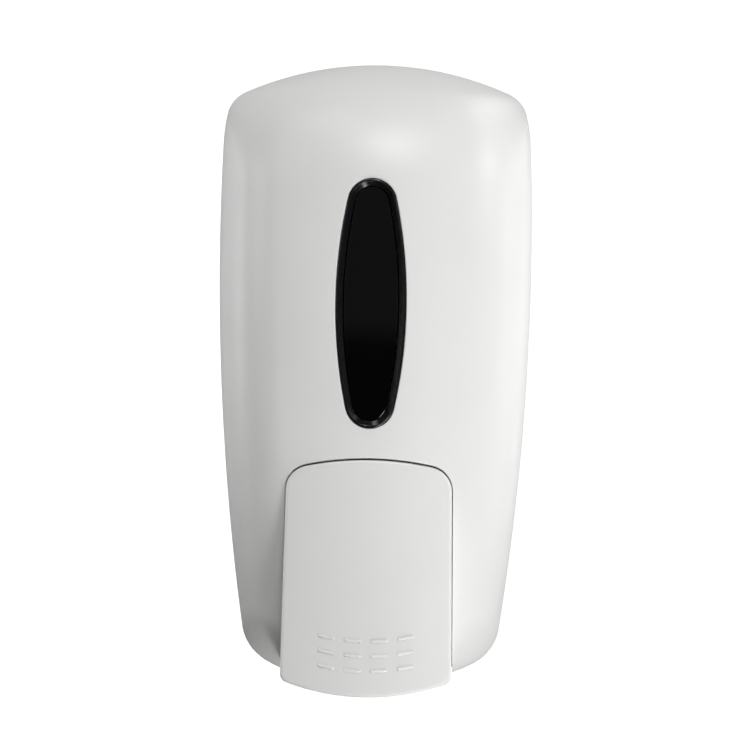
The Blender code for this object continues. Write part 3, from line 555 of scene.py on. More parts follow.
def form_loops(level, loop, side_rows, front_rows):
    """Loops from the cover's rear edge to the middle of its front."""
    origin, aim = rays_to(loop)
    reach = np.linalg.norm(solve(origin, aim, level) - origin, axis=1)
    deep = FRONT_DEPTH - COVER_REAR
    steps = [(1.0, math.sin(math.pi / 2 * k / side_rows)) for k in range(side_rows)]
    steps += [(math.cos(math.pi / 2 * k / front_rows), 1.0) for k in range(front_rows)] + [(0.0, 1.0)]
    loops = []
    for out, forward in steps:
        target = aim * (reach * out)[:, None] + np.array([0.0, -deep * forward, 0.0])
        loops.append(solve(origin, unit(target), level))
    return loops


def surface_point(x, z):
    """Where a line along Y meets the cover's front at (x, z)."""
    return solve(np.array([[x, -COVER_REAR, z]]), np.array([[0.0, -1.0, 0.0]]), 0.0)[0]


def on_front(outline, depth):
    """Flat outline laid on the cover's front, sunk by a depth."""
    return [(x, depth - front_depth(x, z), z) for x, z in outline]


def shrunk(outline, share, middle):
    """Flat outline shrunk towards the point (0, middle)."""
    return [(x * share, middle + (z - middle) * share) for x, z in outline]


def window_outline(grow):
    """Barrel shaped oval of the sight window, grown by a margin, as (x, z) points."""
    drop = WINDOW_HALF_WIDTH - WINDOW_END_R
    end_z = WINDOW_HALF_HEIGHT - WINDOW_END_R
    side_radius = (end_z ** 2 + WINDOW_HALF_WIDTH ** 2 - WINDOW_END_R ** 2) / (2 * drop)
    centre_x = WINDOW_HALF_WIDTH - side_radius
    tilt = math.atan2(end_z, -centre_x)
    quarter = WINDOW_STEPS // 4
    points = arc(centre_x, 0.0, side_radius + grow, 0.0, math.degrees(tilt), quarter)[:-1]
    points += arc(0.0, end_z, WINDOW_END_R + grow, math.degrees(tilt), 90.0, quarter // 2)
    points = points[1:]
    start = (WINDOW_HALF_WIDTH + grow, 0.0)
    upper = [start] + points + [(-x, z) for x, z in reversed(points[:-1])]
    loop = upper + [(-start[0], 0.0)] + [(x, -z) for x, z in reversed(upper[1:])]
    return [(x, z + WINDOW_Z) for x, z in loop]


def lever_depth(x, z):
    """Distance of the lever's front from the wall."""
    share = np.clip((LEVER_TOP_Z - z) / (LEVER_TOP_Z - LEVER_BOTTOM_Z), 0.0, 1.1)
    top = front_depth(0.0, LEVER_TOP_Z) + LEVER_PROUD
    return top + LEVER_FLARE * share ** LEVER_FLARE_POWER - sag(x, FRONT_RADIUS_H)


def on_lever(outline, depth):
    """Flat outline laid on the lever's front, sunk by a depth."""
    return [(x, depth - lever_depth(x, z), z) for x, z in outline]


def lever_outline(grow, corner_steps=14, edge_steps=26, side_steps=34, bottom=LEVER_BOTTOM_Z, side=None):
    """Outline of the lever: arched top, slightly flared sides, bowed bottom, as (x, z) points."""
    half = LEVER_HALF + (grow if side is None else side)
    top_r = LEVER_TOP_CORNER + grow
    low_r = max(LEVER_BOTTOM_CORNER + grow, 0.4)
    top_arc = LEVER_TOP_RADIUS + grow
    low_arc = LEVER_BOTTOM_RADIUS + grow
    top_x = half - top_r
    top_tilt = math.asin(top_x / (top_arc - top_r))
    top_middle = LEVER_TOP_Z + grow - top_arc
    corner_z = top_middle + (top_arc - top_r) * math.cos(top_tilt)
    low_half = half + LEVER_TAPER * (LEVER_TOP_Z - bottom)
    low_x = low_half - low_r
    low_tilt = math.asin(low_x / (low_arc - low_r))
    low_middle = bottom - grow + low_arc
    low_z = low_middle - (low_arc - low_r) * math.cos(low_tilt)
    turns = [top_tilt * k / edge_steps for k in range(edge_steps)]
    right = [(top_arc * math.sin(t), top_middle + top_arc * math.cos(t)) for t in turns]
    right += arc(top_x, corner_z, top_r, 90.0 - math.degrees(top_tilt), 0.0, corner_steps)
    shares = [k / side_steps for k in range(1, side_steps)]
    right += [(half + (low_half - half) * s, corner_z + (low_z - corner_z) * s) for s in shares]
    right += arc(low_x, low_z, low_r, 0.0, -90.0 + math.degrees(low_tilt), corner_steps)
    turns = [low_tilt * (1 - k / edge_steps) for k in range(1, edge_steps + 1)]
    right += [(low_arc * math.sin(t), low_middle - low_arc * math.cos(t)) for t in turns]
    return right + [(-x, z) for x, z in reversed(right[1:-1])]


def cutout_edge():
    """Edge of the lever's cut-out on the cover, from the floor up, over the arch and down again."""
    outline = lever_outline(LEVER_GAP, bottom=CUTOUT_FLOOR, side=LEVER_SIDE_GAP)
    upper = [p for p in outline if p[0] > 0.01 and p[1] > CUTOUT_TURN_Z]
    x, z = upper[-1]
    low_x, low_z = outline[len(upper) + 1]
    slope = (low_x - x) / (z - low_z)
    start = np.array([[x + slope * (z - CUTOUT_TURN_Z), -CUTOUT_REAR, CUTOUT_TURN_Z]])
    line = []
    for a in np.radians(np.linspace(90.0, 2.0, 60)):
        aim = np.array([[slope * math.sin(a), -math.cos(a), -math.sin(a)]])
        line.append(solve(start, aim, 0.0)[0])
    line += [surface_point(x, z) for x, z in reversed(upper)]
    middle = surface_point(0.0, LEVER_TOP_Z + LEVER_GAP)
    flip = np.array([-1.0, 1.0, 1.0])
    return line + [middle] + [p * flip for p in reversed(line)]


def edge_tool(name, line, centre, radius, closed, steps=5):
    """Tool that rounds the edge where a hole's wall meets the cover's outer face."""
    line = np.asarray(line)
    normal = field_normal(line)
    ahead = np.roll(line, -1, axis=0) - np.roll(line, 1, axis=0) if closed else np.gradient(line, axis=0)
    away = unit(np.cross(normal, unit(ahead)))
    facing = np.sum(away * (line - np.asarray(centre)), axis=1)
    away *= np.where(facing < 0, -1.0, 1.0)[:, None]
    free = 0.35
    section = [(-free, free), (radius * 1.02, free)]
    section += arc(radius, -radius, radius, 90.0, 180.0, steps) + [(-free, -radius)]
    loops = [[tuple(p + b * u + n * v) for u, v in section] for p, n, b in zip(line, normal, away)]
    return shell(name, loops, ring=closed, capped=not closed)


# -------- cover body

def side_hole(side, span, radius, y, z):
    """Tool for a hole along X through one ear and a little beyond its faces."""
    return rod("hole", radius, (side * (span[0] - 1.0), y, z), (side * (span[1] + 1.0), y, z), 32)


def rim_loops(loop, wall):
    """Rounded rear edge of a shell: loops from its inner face to its outer face."""
    origin, aim = rays_to(loop)
    steps = [(0.45, -wall), (0.12, 0.12 - wall), (0.0, 0.45 - wall), (0.0, -0.5), (0.14, -0.14), (0.5, 0.0)]
    return [solve(origin - np.array([0.0, back, 0.0]), aim, inset) for back, inset in steps]


def make_cover():
    """Domed shell with the window, the lever's cut-out, hinge ears, lever lugs and the lock's hole."""
    loop = body_outline(0.0)
    outer = form_loops(0.0, loop, SIDE_ROWS, FRONT_ROWS)[1:]
    inner = form_loops(-COVER_WALL, loop, INNER_ROWS, INNER_ROWS)[1:]
    loops = list(reversed(inner)) + rim_loops(loop, COVER_WALL) + outer
    cover = shell("cover_shell", loops, curved=True)
    hole = lever_outline(LEVER_GAP, bottom=CUTOUT_FLOOR, side=LEVER_SIDE_GAP)
    tools = [
        prism("window_hole", window_outline(GAP), "Y", -110.0, -70.0),
        prism("lever_hole", hole, "Y", -130.0, -CUTOUT_REAR),
        rod("lock_hole", HOUSING_R + GAP, (0, LOCK_Y, 112), (0, LOCK_Y, 135), 64),
    ]
    for side in (-1, 1):
        notch = sorted((side * (PLATE_EAR_X[0] - 0.6), side * (PLATE_EAR_X[1] + 0.45)))
        tools.append(block("notch", (notch[0], -24.0, -130.0), (notch[1], -8.0, -104.0)))
    cut(cover, *tools)
    window_line = [surface_point(x, z) for x, z in window_outline(GAP)]
    r = HOUSING_R + GAP
    below = np.array([(r * math.cos(a), LOCK_Y + r * math.sin(a), 60.0) for a in circle(48, 0.3)])
    lock_line = solve(below, np.tile([0.0, 0.0, 1.0], (len(below), 1)), 0.0)
    cut(
        cover,
        edge_tool("window_edge", window_line, (0, -97, WINDOW_Z), EDGE_ROUND, True),
        edge_tool("lock_edge", lock_line, (0, LOCK_Y, 124), 0.4, True),
        edge_tool("cutout_edge", cutout_edge(), (0, -95, -85), EDGE_ROUND, False),
    )
    adds = []
    holes = []
    for side in (-1, 1):
        shape = arc(HINGE_Y, HINGE_Z, HINGE_LOBE_R, 0.0, 180.0, 24)
        floor = BOTTOM_Z + sag(COVER_EAR_X[0], BOTTOM_RADIUS) + 1.5
        shape += [(HINGE_Y - HINGE_LOBE_R, floor), (HINGE_Y + HINGE_LOBE_R - 0.35, floor)]
        adds.append(across("cover_ear", shape, side, COVER_EAR_X))
        wall = 1.8 - front_depth(COVER_LUG_X[1], PIVOT_Z)
        lug = arc(PIVOT_Y, PIVOT_Z, 5.0, 90.0, -90.0, 24)
        lug += [(wall, PIVOT_Z - 5.0), (wall, PIVOT_Z + 5.0)]
        adds.append(across("lug", lug, side, COVER_LUG_X))
        holes.append(side_hole(side, COVER_EAR_X, HINGE_PIN_R + GAP, HINGE_Y, HINGE_Z))
        holes.append(side_hole(side, COVER_LUG_X, PIVOT_PIN_R + GAP, PIVOT_Y, PIVOT_Z))
    unite(cover, *adds)
    cut(cover, *holes)
    sharpen(cover, 30.0)
    exact_normals(cover)
    return cover


def make_bezel():
    """Black surround that slopes from the cover's face down to the lens."""
    deep = LENS_RECESS + 4.0
    flange = COVER_WALL + 1.1
    section = [(0.0, 0.0), (0.75, -0.12), (BEZEL_BAND - 0.25, LENS_RECESS - 0.35), (BEZEL_BAND, deep)]
    section += [(-2.6, deep), (-2.6, flange), (0.0, flange)]
    section = softened(section, 0.3, closed=True, steps=4)
    loops = [on_front(window_outline(-inset), depth) for inset, depth in section]
    return crisp(shell("sight_bezel", loops, ring=True), 40.0)


def make_lens():
    """Smoked window seated in the bezel."""
    rim = window_outline(-BEZEL_BAND - LENS_GAP)
    shares = [k / 12 for k in range(12)] + [0.985]
    rear = LENS_RECESS + LENS_THICK
    loops = [on_front(shrunk(rim, share, WINDOW_Z), LENS_RECESS) for share in shares]
    loops += [on_front(rim, LENS_RECESS + 0.2), on_front(rim, rear)]
    loops += [on_front(shrunk(rim, share, WINDOW_Z), rear) for share in reversed(shares)]
    return crisp(shell("sight_lens", loops), 40.0)


def headed_pin(name, side, start, y, z, length):
    """Turned pin with a domed head on its inner end."""
    profile = [(0, -1.8), (2.2, -1.7), (3.3, -1.0), (3.3, 0), (HINGE_PIN_R, 0), (HINGE_PIN_R, length - 0.5)]
    profile += [(1.5, length), (0, length)]
    return turned(name, profile, (side * start, y, z), (side, 0, 0), 40, edge=0.2)


# -------- lever body

def lever_rear(x, z):
    """How far back the lever's skirt reaches: deep at the sides, shallow along top and bottom."""
    side = smoothstep((abs(x) - 23.0) / 7.0)
    return side * -72.0 + (1 - side) * (-87.0 if z > -75.0 else -101.0)


def lever_shell(inset, sink, shares, angles):
    """Loops from the skirt's rear edge round the front edge to the middle of the plate."""
    middle_z = (LEVER_TOP_Z + LEVER_BOTTOM_Z) / 2
    edge = max(LEVER_EDGE_ROUND - sink * 0.3, 0.5)
    skirt = on_lever(lever_outline(-inset), sink + edge)
    steps = (0.0, 0.25, 0.5, 0.75)
    loops = [[(x, lever_rear(x, z) * (1 - t) + y * t, z) for x, y, z in skirt] for t in steps]
    for turn in np.radians(angles):
        outline = lever_outline(-inset - edge * (1 - math.cos(turn)))
        loops.append(on_lever(outline, sink + edge * (1 - math.sin(turn))))
    rim = lever_outline(-inset - edge)
    return loops + [on_lever(shrunk(rim, share, middle_z), sink) for share in shares]


def make_lever():
    """Flared push plate with skirts and pin holes."""
    shares = [1 - k / 22 for k in range(1, 23)]
    outer = lever_shell(0.0, 0.0, shares, (0, 15, 30, 45, 60, 75, 90))
    inner = lever_shell(LEVER_WALL, LEVER_WALL, (0.8, 0.6, 0.4, 0.2, 0.0), (0, 45, 90))
    lever = shell("lever_plate", list(reversed(outer)) + inner, curved=True)
    span = (LEVER_HALF - LEVER_WALL, LEVER_HALF)
    cut(lever, *[side_hole(side, span, PIVOT_PIN_R + GAP, PIVOT_Y, PIVOT_Z) for side in (-1, 1)])
    return crisp(lever, 35.0)


def make_grips():
    """Raised grip bars with round tops; the rows bow like the lever's lower edge."""
    points = []
    faces = []
    straight = GRIP_LENGTH / 2 - GRIP_WIDTH / 2
    for row in range(GRIP_ROWS):
        for column in range(GRIP_COLUMNS):
            cx = (column - (GRIP_COLUMNS - 1) / 2) * GRIP_PITCH_X
            cz = GRIP_FIRST_Z - row * GRIP_PITCH_Z + sag(cx, GRIP_ARC_RADIUS)
            tilt = math.asin(cx / GRIP_ARC_RADIUS)
            c = math.cos(tilt)
            s = math.sin(tilt)
            loops = []
            for rise in np.radians((-35, 0, 18, 36, 54, 72, 90)):
                r = GRIP_WIDTH / 2 * math.cos(rise)
                oval = arc(straight, 0, r, -90, 90, 10) + arc(-straight, 0, r, 90, 270, 10)
                flat = [(cx + u * c - v * s, cz + u * s + v * c) for u, v in oval]
                loops.append(on_lever(flat, -GRIP_HEIGHT * math.sin(rise)))
            bar_points, bar_faces = skin(loops, capped=True)
            faces += [tuple(i + len(points) for i in f) for f in bar_faces]
            points += bar_points
    return crisp(node("grip_bars", points, faces), 60.0)


def make_push_pad():
    """Wedge behind the lever that bears on the piston's cap, with two relief grooves."""
    shape = [(-90.6, -84.5), (-101.2, -84.5), (-104.2, -99.5), (-90.6, -99.5)]
    pad = prism("lever_push_pad", shape, "X", -9.0, 9.0)
    cut(pad, *[block("groove", (x - 0.8, -91.4, -110.0), (x + 0.8, -89.0, -80.0)) for x in (-5.0, 5.0)])
    return bevelled(pad, 0.5, 3)


# -------- wall unit

def level_loops(steps):
    """Loops of the outline, each given by a depth from the wall and a distance inside the form."""
    return [[(x, -depth, z) for x, z in body_outline(-inset, 90)] for depth, inset in steps]


def make_back_plate():
    """Shallow tray with a rounded rim, screw slots, hinge ears and the bottle shelf."""
    outer = PLATE_INSET
    inner = PLATE_INSET + PLATE_RIM_WALL
    rim = PLATE_RIM_DEPTH
    steps = [(0.0, outer + 0.5), (0.15, outer + 0.15), (0.5, outer)]
    steps += [(rim - 0.5, outer), (rim - 0.15, outer + 0.15), (rim, outer + 0.5)]
    steps += [(rim, inner - 0.5), (rim - 0.15, inner - 0.15), (rim - 0.5, inner)]
    steps += [(PLATE_FLOOR + 1.2, inner), (PLATE_FLOOR + 0.35, inner + 0.35), (PLATE_FLOOR, inner + 1.2)]
    plate = shell("wall_plate", level_loops(steps), capped=True)
    cut(plate, block("low_rim", (-80, -20, -140), (80, -PLATE_LOW_RIM_DEPTH, PLATE_LOW_RIM_Z)))
    adds = [shelf_tool()]
    holes = []
    for side in (-1, 1):
        root = -PLATE_FLOOR + 1.0
        shape = arc(HINGE_Y, HINGE_Z, HINGE_LOBE_R, 90.0, 270.0, 24)
        shape += [(root, HINGE_Z - HINGE_LOBE_R), (root, HINGE_Z + HINGE_LOBE_R + 4)]
        adds.append(across("ear", shape, side, PLATE_EAR_X))
        holes.append(side_hole(side, PLATE_EAR_X, HINGE_PIN_R + GAP, HINGE_Y, HINGE_Z))
        holes.append(keyhole_tool(side * KEYHOLE_X, KEYHOLE_Z))
        slot = arc(side * KEYHOLE_X, LOW_SLOT_Z + 4, KEYHOLE_SLOT_R, 0, 180, 20)
        slot += arc(side * KEYHOLE_X, LOW_SLOT_Z - 4, KEYHOLE_SLOT_R, 180, 360, 20)
        holes.append(prism("slot", slot, "Y", -8.0, 4.0))
    unite(plate, *adds)
    cut(plate, *holes)
    return bevelled(plate, 0.25, 2)


def keyhole_tool(x, z):
    """Round hole for a screw head with a narrow slot above it."""
    half = math.degrees(math.asin(KEYHOLE_SLOT_R / KEYHOLE_HEAD_R))
    shape = arc(x, z, KEYHOLE_HEAD_R, 90.0 + half, 450.0 - half, 48)
    shape += arc(x, z + KEYHOLE_SLOT_RISE, KEYHOLE_SLOT_R, 0.0, 180.0, 24)
    return prism("keyhole", shape, "Y", -8.0, 4.0)


def shelf_tool():
    """Forked shelf that carries the bottle's shoulder round its neck."""
    r = NECK_R + 1.0
    shape = [(SHELF_HALF, -PLATE_FLOOR + 1.0), (SHELF_HALF, -SHELF_REACH + 8)]
    shape += arc(SHELF_HALF - 8, -SHELF_REACH + 8, 8, 0, -90, 14)[1:]
    shape += [(r, -SHELF_REACH)]
    shape += arc(0, BOTTLE_Y, r, 0, 180, 40)
    shape += [(-r, -SHELF_REACH)]
    shape += arc(-SHELF_HALF + 8, -SHELF_REACH + 8, 8, 270, 180, 14)
    shape += [(-SHELF_HALF, -PLATE_FLOOR + 1.0)]
    return prism("shelf", shape, "Z", SHELF_TOP - SHELF_THICK, SHELF_TOP)


def make_lock_keeper():
    """Bent steel catch on the plate, with rounded bends."""
    shape = [(-2.8, 94), (-2.8, 113), (-5.0, 113), (-5.0, 103.4), (-27.3, 103.4), (-27.3, 110)]
    shape += [(-29.4, 110), (-29.4, 101), (-5.0, 101), (-5.0, 94)]
    shape = softened(shape, 0.5, closed=True, steps=4)
    return bevelled(prism("keeper_strip", shape, "X", 10.0, 15.5), 0.25, 2)


def rounded_section(cx, cy, half_x, half_y, radius, z, quarter=24):
    """Loop of a rounded rectangle in a level plane; equal point counts for every section."""
    radius = min(radius, half_x - 0.01, half_y - 0.01)
    loop = []
    for sx, sy, start in ((1, 1, 0), (-1, 1, 90), (-1, -1, 180), (1, -1, 270)):
        px = cx + sx * (half_x - radius)
        py = cy + sy * (half_y - radius)
        loop += [(x, y, z) for x, y in arc(px, py, radius, start, start + 90.0, quarter - 1)]
    return loop


def between(first, last, steps):
    """Loops spaced evenly from one loop to another, without the last."""
    a = np.asarray(first)
    b = np.asarray(last)
    return [[tuple(p) for p in a + (b - a) * (k / steps)] for k in range(steps)]


def bottle_side(inset):
    """Loops of the bottle from the foot of the pump neck to the top of the filler neck."""
    low = BOTTLE_LOW + inset
    high = BOTTLE_HIGH - inset
    hx = BOTTLE_HALF_X - inset
    hy = BOTTLE_HALF_Y - inset
    r = BOTTLE_ROUND - inset
    neck = NECK_R - inset
    fill = FILLER_R - inset

    def ring(y, radius, z):
        return rounded_section(0, y, radius, radius, radius, z)

    def shoulder(angle, end, sign):
        turn = math.radians(angle)
        grow = 12.0 * (1 - math.cos(turn))
        z = end + sign * (12.0 - 13.0 * math.sin(turn))
        return rounded_section(0, BOTTLE_Y, hx - grow, hy - grow, r - grow / 2, z)

    foot = [ring(BOTTLE_Y, neck, z) for z in (NECK_LOW, NECK_LOW + 0.3, low - 7.2, low - 6.4)]
    foot += [ring(BOTTLE_Y, neck + wide, low - drop) for wide, drop in ((0.5, 5.7), (2, 5.2))]
    angles = (90, 78, 66, 54, 42, 30, 18, 8, 0)
    lower = [shoulder(a, low, 1.0) for a in angles]
    upper = [shoulder(a, high - 1.0, -1.0) for a in reversed(angles)]
    head = [ring(FILLER_Y, fill + wide, high + rise) for wide, rise in ((2, 0.6), (0.6, 1.4), (0, 2.4))]
    head += [ring(FILLER_Y, fill, z) for z in (FILLER_HIGH - 1.0, FILLER_HIGH - 0.3)]
    head += [ring(FILLER_Y, fill + (0.0 if inset else -0.25), FILLER_HIGH)]
    loops = foot[:-1] + between(foot[-1], lower[0], 5) + lower
    loops += upper[:-1] + between(upper[-1], head[0], 5) + head
    return loops


def make_bottle():
    """Blown bottle with a pump neck below and a filler neck on top."""
    loops = bottle_side(0.0) + list(reversed(bottle_side(BOTTLE_WALL)))
    return crisp(shell("refill_bottle", loops, ring=True), 50.0)


def gripped(name, profile, y, closed, threshold, count, depth, steps=240):
    """Upright turned piece whose outside carries evenly spaced grip ribs."""
    def loop(radius, height):
        share = min(max((radius - threshold) / 0.8, 0.0), 1.0)
        out = []
        for a in circle(steps):
            wave = 0.5 + 0.5 * math.cos(count * a)
            reach = radius - depth * share * (1.0 - wave ** 0.6)
            out.append((reach * math.cos(a), y + reach * math.sin(a), height))
        return out

    loops = [loop(*p) for p in softened(profile, 0.3, closed)]
    return crisp(shell(name, loops, ring=closed), 40.0)


def make_collar_nut():
    """Nut round the neck that carries the pump, with grip ribs."""
    low = -66.5
    inner = NECK_R + GAP + 0.2
    outer = 18.5
    top = SHELF_TOP - SHELF_THICK
    profile = [(inner, top - 1.2), (outer - 1, top - 1.2), (outer, top - 2.4), (outer, low + 1)]
    profile += [(outer - 1, low), (12.4, low), (12.4, low + 1.6), (inner, low + 1.6)]
    return gripped("ribbed_nut", profile, BOTTLE_Y, True, 17.4, 30, 0.5)


def make_collar_gasket():
    profile = [(9.0, NECK_LOW - 1.5), (13.2, NECK_LOW - 1.5), (13.2, NECK_LOW - GAP), (9.0, NECK_LOW - GAP)]
    return crisp(turned("neck_gasket", profile, (0, BOTTLE_Y, 0), closed=True, edge=0.35))


def make_pump_body():
    """Inlet flange, level cylinder and downward spout in one moulding."""
    top = NECK_LOW - 1.5 - GAP
    length = PUMP_REAR - PUMP_FRONT
    lip = PUMP_TUBE_R + 1.6
    profile = [(0, 0), (PUMP_TUBE_R - 1, 0), (PUMP_TUBE_R, 1), (PUMP_TUBE_R, length - 3)]
    profile += [(lip, length - 3), (lip, length), (0, length)]
    tube = turned("pump_cylinder", profile, (0, PUMP_REAR, PUMP_Z), (0, -1, 0), 72)
    inlet = [(0, PUMP_Z), (INLET_R, PUMP_Z), (INLET_R, -67.2), (12.0, -67.2), (12.0, top - 1.0)]
    inlet += [(13.2, top - 1.0), (13.2, top), (0, top)]
    unite(tube, turned("inlet", inlet, (0, BOTTLE_Y, 0), steps=72))
    spout = [(0, SPOUT_LOW), (SPOUT_R - 1, SPOUT_LOW), (SPOUT_R, SPOUT_LOW + 1)]
    spout += [(SPOUT_R, PUMP_Z), (0, PUMP_Z)]
    unite(tube, turned("spout", spout, (0, SPOUT_Y, 0)))
    cut(tube, rod("bore", PUMP_BORE_R, (0, BORE_REAR, PUMP_Z), (0, PUMP_FRONT - 5, PUMP_Z), 64))
    cut(tube, rod("drop", 3.0, (0, BOTTLE_Y, PUMP_Z), (0, BOTTLE_Y, top + 5), 40))
    cut(tube, rod("cup", 8.0, (0, BOTTLE_Y, top - 3.0), (0, BOTTLE_Y, top + 5), 64))
    cut(tube, rod("outlet", SPOUT_BORE_R, (0, SPOUT_Y, PUMP_Z), (0, SPOUT_Y, SPOUT_LOW - 5), 40))
    return crisp(tube)


def make_inlet_valve():
    top = NECK_LOW - 1.5 - GAP
    base = top - 3.0 + GAP
    profile = [(0, base - 4), (1.6, base - 4), (1.6, base), (6.4, base), (6.4, base + 0.7)]
    profile += [(2.0, base + 1.4), (0, base + 1.5)]
    return crisp(turned("mushroom_valve", profile, (0, BOTTLE_Y, 0), steps=48, edge=0.3))


def make_duckbill():
    profile = [(0, -111.4), (0.9, -111.4), (1.3, -107.5), (3.2, -105.5), (3.2, -101.0)]
    profile += [(2.2, -101.0), (2.0, -104.8), (0, -106.4)]
    return crisp(turned("duckbill", profile, (0, SPOUT_Y, 0), steps=48))


def make_nozzle_tip():
    inner = SPOUT_R + GAP
    outer = SPOUT_R + 1.7
    profile = [(inner, SPOUT_LOW + 5), (outer - 0.3, SPOUT_LOW + 5), (outer, SPOUT_LOW + 4.4)]
    profile += [(outer, SPOUT_LOW), (outer - 3.4, SPOUT_LOW - 4.5), (2.6, SPOUT_LOW - 4.5)]
    profile += [(2.6, SPOUT_LOW - 2.4), (3.6, SPOUT_LOW - GAP), (inner, SPOUT_LOW - GAP)]
    return crisp(turned("spout_ring", profile, (0, SPOUT_Y, 0), closed=True))


# -------- piston and filler

def make_piston_stem():
    head = PUMP_BORE_R - GAP
    profile = [(0, 0), (head, 0), (head, 1.4), (6.2, 1.4), (6.2, 4.0), (head, 4.0), (head, 5.4)]
    profile += [(4.0, 5.4), (4.0, 25.6), (0, 25.6)]
    return crisp(turned("plunger", profile, (0, PISTON_BACK, PUMP_Z), (0, -1, 0)))


def make_piston_seal():
    ring = arc(7.35, 2.7, 0.85, 0.0, 345.0, 23)
    return crisp(turned("seal_ring", ring, (0, PISTON_BACK, PUMP_Z), (0, -1, 0), closed=True, edge=0.0))


def make_piston_cap():
    profile = [(0, 25.9), (4.3, 25.9), (4.3, 21.0), (6.2, 21.0), (7.0, 21.8), (7.0, 25.2), (6.2, 26.6)]
    profile += [(4.4, 27.6), (2.2, 28.1), (0, 28.2)]
    return crisp(turned("plunger_cap", profile, (0, PISTON_BACK, PUMP_Z), (0, -1, 0), edge=0.5))


def make_spring(radius=6.1, wire=0.6, turns=6.5):
    """Round wire wound about the pump's axis."""
    start = BORE_REAR - 1.0
    end = PISTON_BACK + 1.0
    steps = int(turns * 40)
    pitch = (end - start) / (2 * math.pi * turns * radius)
    loops = []
    for k in range(steps + 1):
        share = k / steps
        angle = 2 * math.pi * turns * share
        outward = Vector((math.cos(angle), 0, math.sin(angle)))
        centre = outward * radius + Vector((0, start + (end - start) * share, PUMP_Z))
        along = Vector((-math.sin(angle), pitch, math.cos(angle))).normalized()
        up = along.cross(outward).normalized()
        ways = [(wire * math.cos(a), wire * math.sin(a)) for a in circle(12)]
        loops.append([tuple(centre + outward * u + up * v) for u, v in ways])
    return crisp(shell("coil_spring", loops, capped=True), 60.0)


def make_filler_cap():
    inner = FILLER_R - BOTTLE_WALL - GAP
    top = FILLER_HIGH
    rim = FILLER_R + 1.6
    profile = [(0, top + 0.4), (inner - 1.6, top + 0.4), (inner - 1.6, top - 6), (inner, top - 6)]
    profile += [(inner, top + 1.6), (rim, top + 1.6), (rim, top + 3.4), (rim - 0.8, top + 4.2)]
    profile += [(0, top + 4.6)]
    return gripped("scalloped_lid", profile, FILLER_Y, False, 11.5, 20, 0.45)


def make_filler_gasket():
    inner = FILLER_R - BOTTLE_WALL
    seat = FILLER_R + 0.6
    low = FILLER_HIGH + GAP
    ring = [(inner, low), (seat, low), (seat, low + 1.0), (inner, low + 1.0)]
    return crisp(turned("lid_gasket", ring, (0, FILLER_Y, 0), closed=True, edge=0.35))


# -------- lock

def make_lock_housing():
    inner = LOCK_R + GAP
    profile = [(inner, 109.0), (HOUSING_R, 109.0), (HOUSING_R, 118.2), (11.0, 118.2), (11.0, 120.5)]
    profile += [(HOUSING_R, 120.5), (HOUSING_R, LOCK_TOP + 0.1), (inner, LOCK_TOP + 0.1)]
    return crisp(turned("lock_bush", profile, (0, LOCK_Y, 0), steps=72, closed=True))


def make_lock_barrel():
    profile = [(0, LOCK_LOW), (LOCK_R, LOCK_LOW), (LOCK_R, LOCK_TOP - 0.4)]
    profile += [(LOCK_R - 0.4, LOCK_TOP), (0, LOCK_TOP)]
    barrel = turned("lock_plug", profile, (0, LOCK_Y, 0), steps=72)
    slot = block("key_slot", (-0.9, LOCK_Y - 3.6, LOCK_TOP - 5.0), (0.9, LOCK_Y + 3.6, LOCK_TOP + 2.0))
    cut(barrel, slot)
    cut(barrel, rod("screw_hole", 1.9, (0, LOCK_Y, LOCK_LOW - 1), (0, LOCK_Y, LOCK_LOW + 6), 32))
    return crisp(barrel)


def make_lock_cam():
    hub = 6.0
    half = 2.6
    join = math.degrees(math.asin(half / hub))
    shape = arc(0, LOCK_Y, hub, 90.0 + join, 450.0 - join, 48)
    shape += arc(0, LOCK_Y + CAM_REACH - half, half, 0.0, 180.0, 20)
    cam = prism("cam_plate", shape, "Z", LOCK_LOW - GAP - 1.9, LOCK_LOW - GAP)
    cut(cam, rod("cam_hole", 1.9, (0, LOCK_Y, 100), (0, LOCK_Y, 112), 32))
    return bevelled(cam, 0.2, 2)


def make_cam_screw():
    """Screw with a cross recess."""
    top = LOCK_LOW - GAP - 1.9 - GAP
    profile = [(0, top - 2.0), (2.8, top - 2.0), (3.3, top - 1.4), (3.3, top), (1.5, top)]
    profile += [(1.5, LOCK_LOW + 5.2), (0, LOCK_LOW + 5.2)]
    screw = turned("cross_screw", profile, (0, LOCK_Y, 0), steps=48)
    cut(screw, block("recess", (-2.0, LOCK_Y - 0.35, top - 3.0), (2.0, LOCK_Y + 0.35, top - 1.0)))
    cut(screw, block("recess", (-0.35, LOCK_Y - 2.0, top - 3.0), (0.35, LOCK_Y + 2.0, top - 1.0)))
    return crisp(screw)


# -------- shading of curved shells

def column(items, key, width, kind=float):
    """One property of many mesh elements as rows of an array."""
    values = np.empty(len(items) * width, kind)
    items.foreach_get(key, values)
    return values.reshape(-1, width)


def exact_normals(item):
    """Give corners that lie on the outer form the form's own direction."""
    mesh = item.data
    points = column(mesh.vertices, "co", 3) / MM
    wanted = field_normal(points)
    on_form = (np.abs(body_field(*points.T)) < 0.03) & (points[:, 1] < -COVER_REAR - 0.6)
    vertex = column(mesh.loops, "vertex_index", 1, int)[:, 0]
    totals = column(mesh.polygons, "loop_total", 1, int)[:, 0]
    face_normal = np.repeat(column(mesh.polygons, "normal", 3), totals, axis=0)
    near = np.sum(face_normal * wanted[vertex], axis=1) > math.cos(math.radians(24))
    chosen = np.array([tuple(n.vector) for n in mesh.corner_normals])
    use = on_form[vertex] & near
    chosen[use] = wanted[vertex][use]
    mesh.normals_split_custom_set([tuple(n) for n in chosen])


# -------- finishes

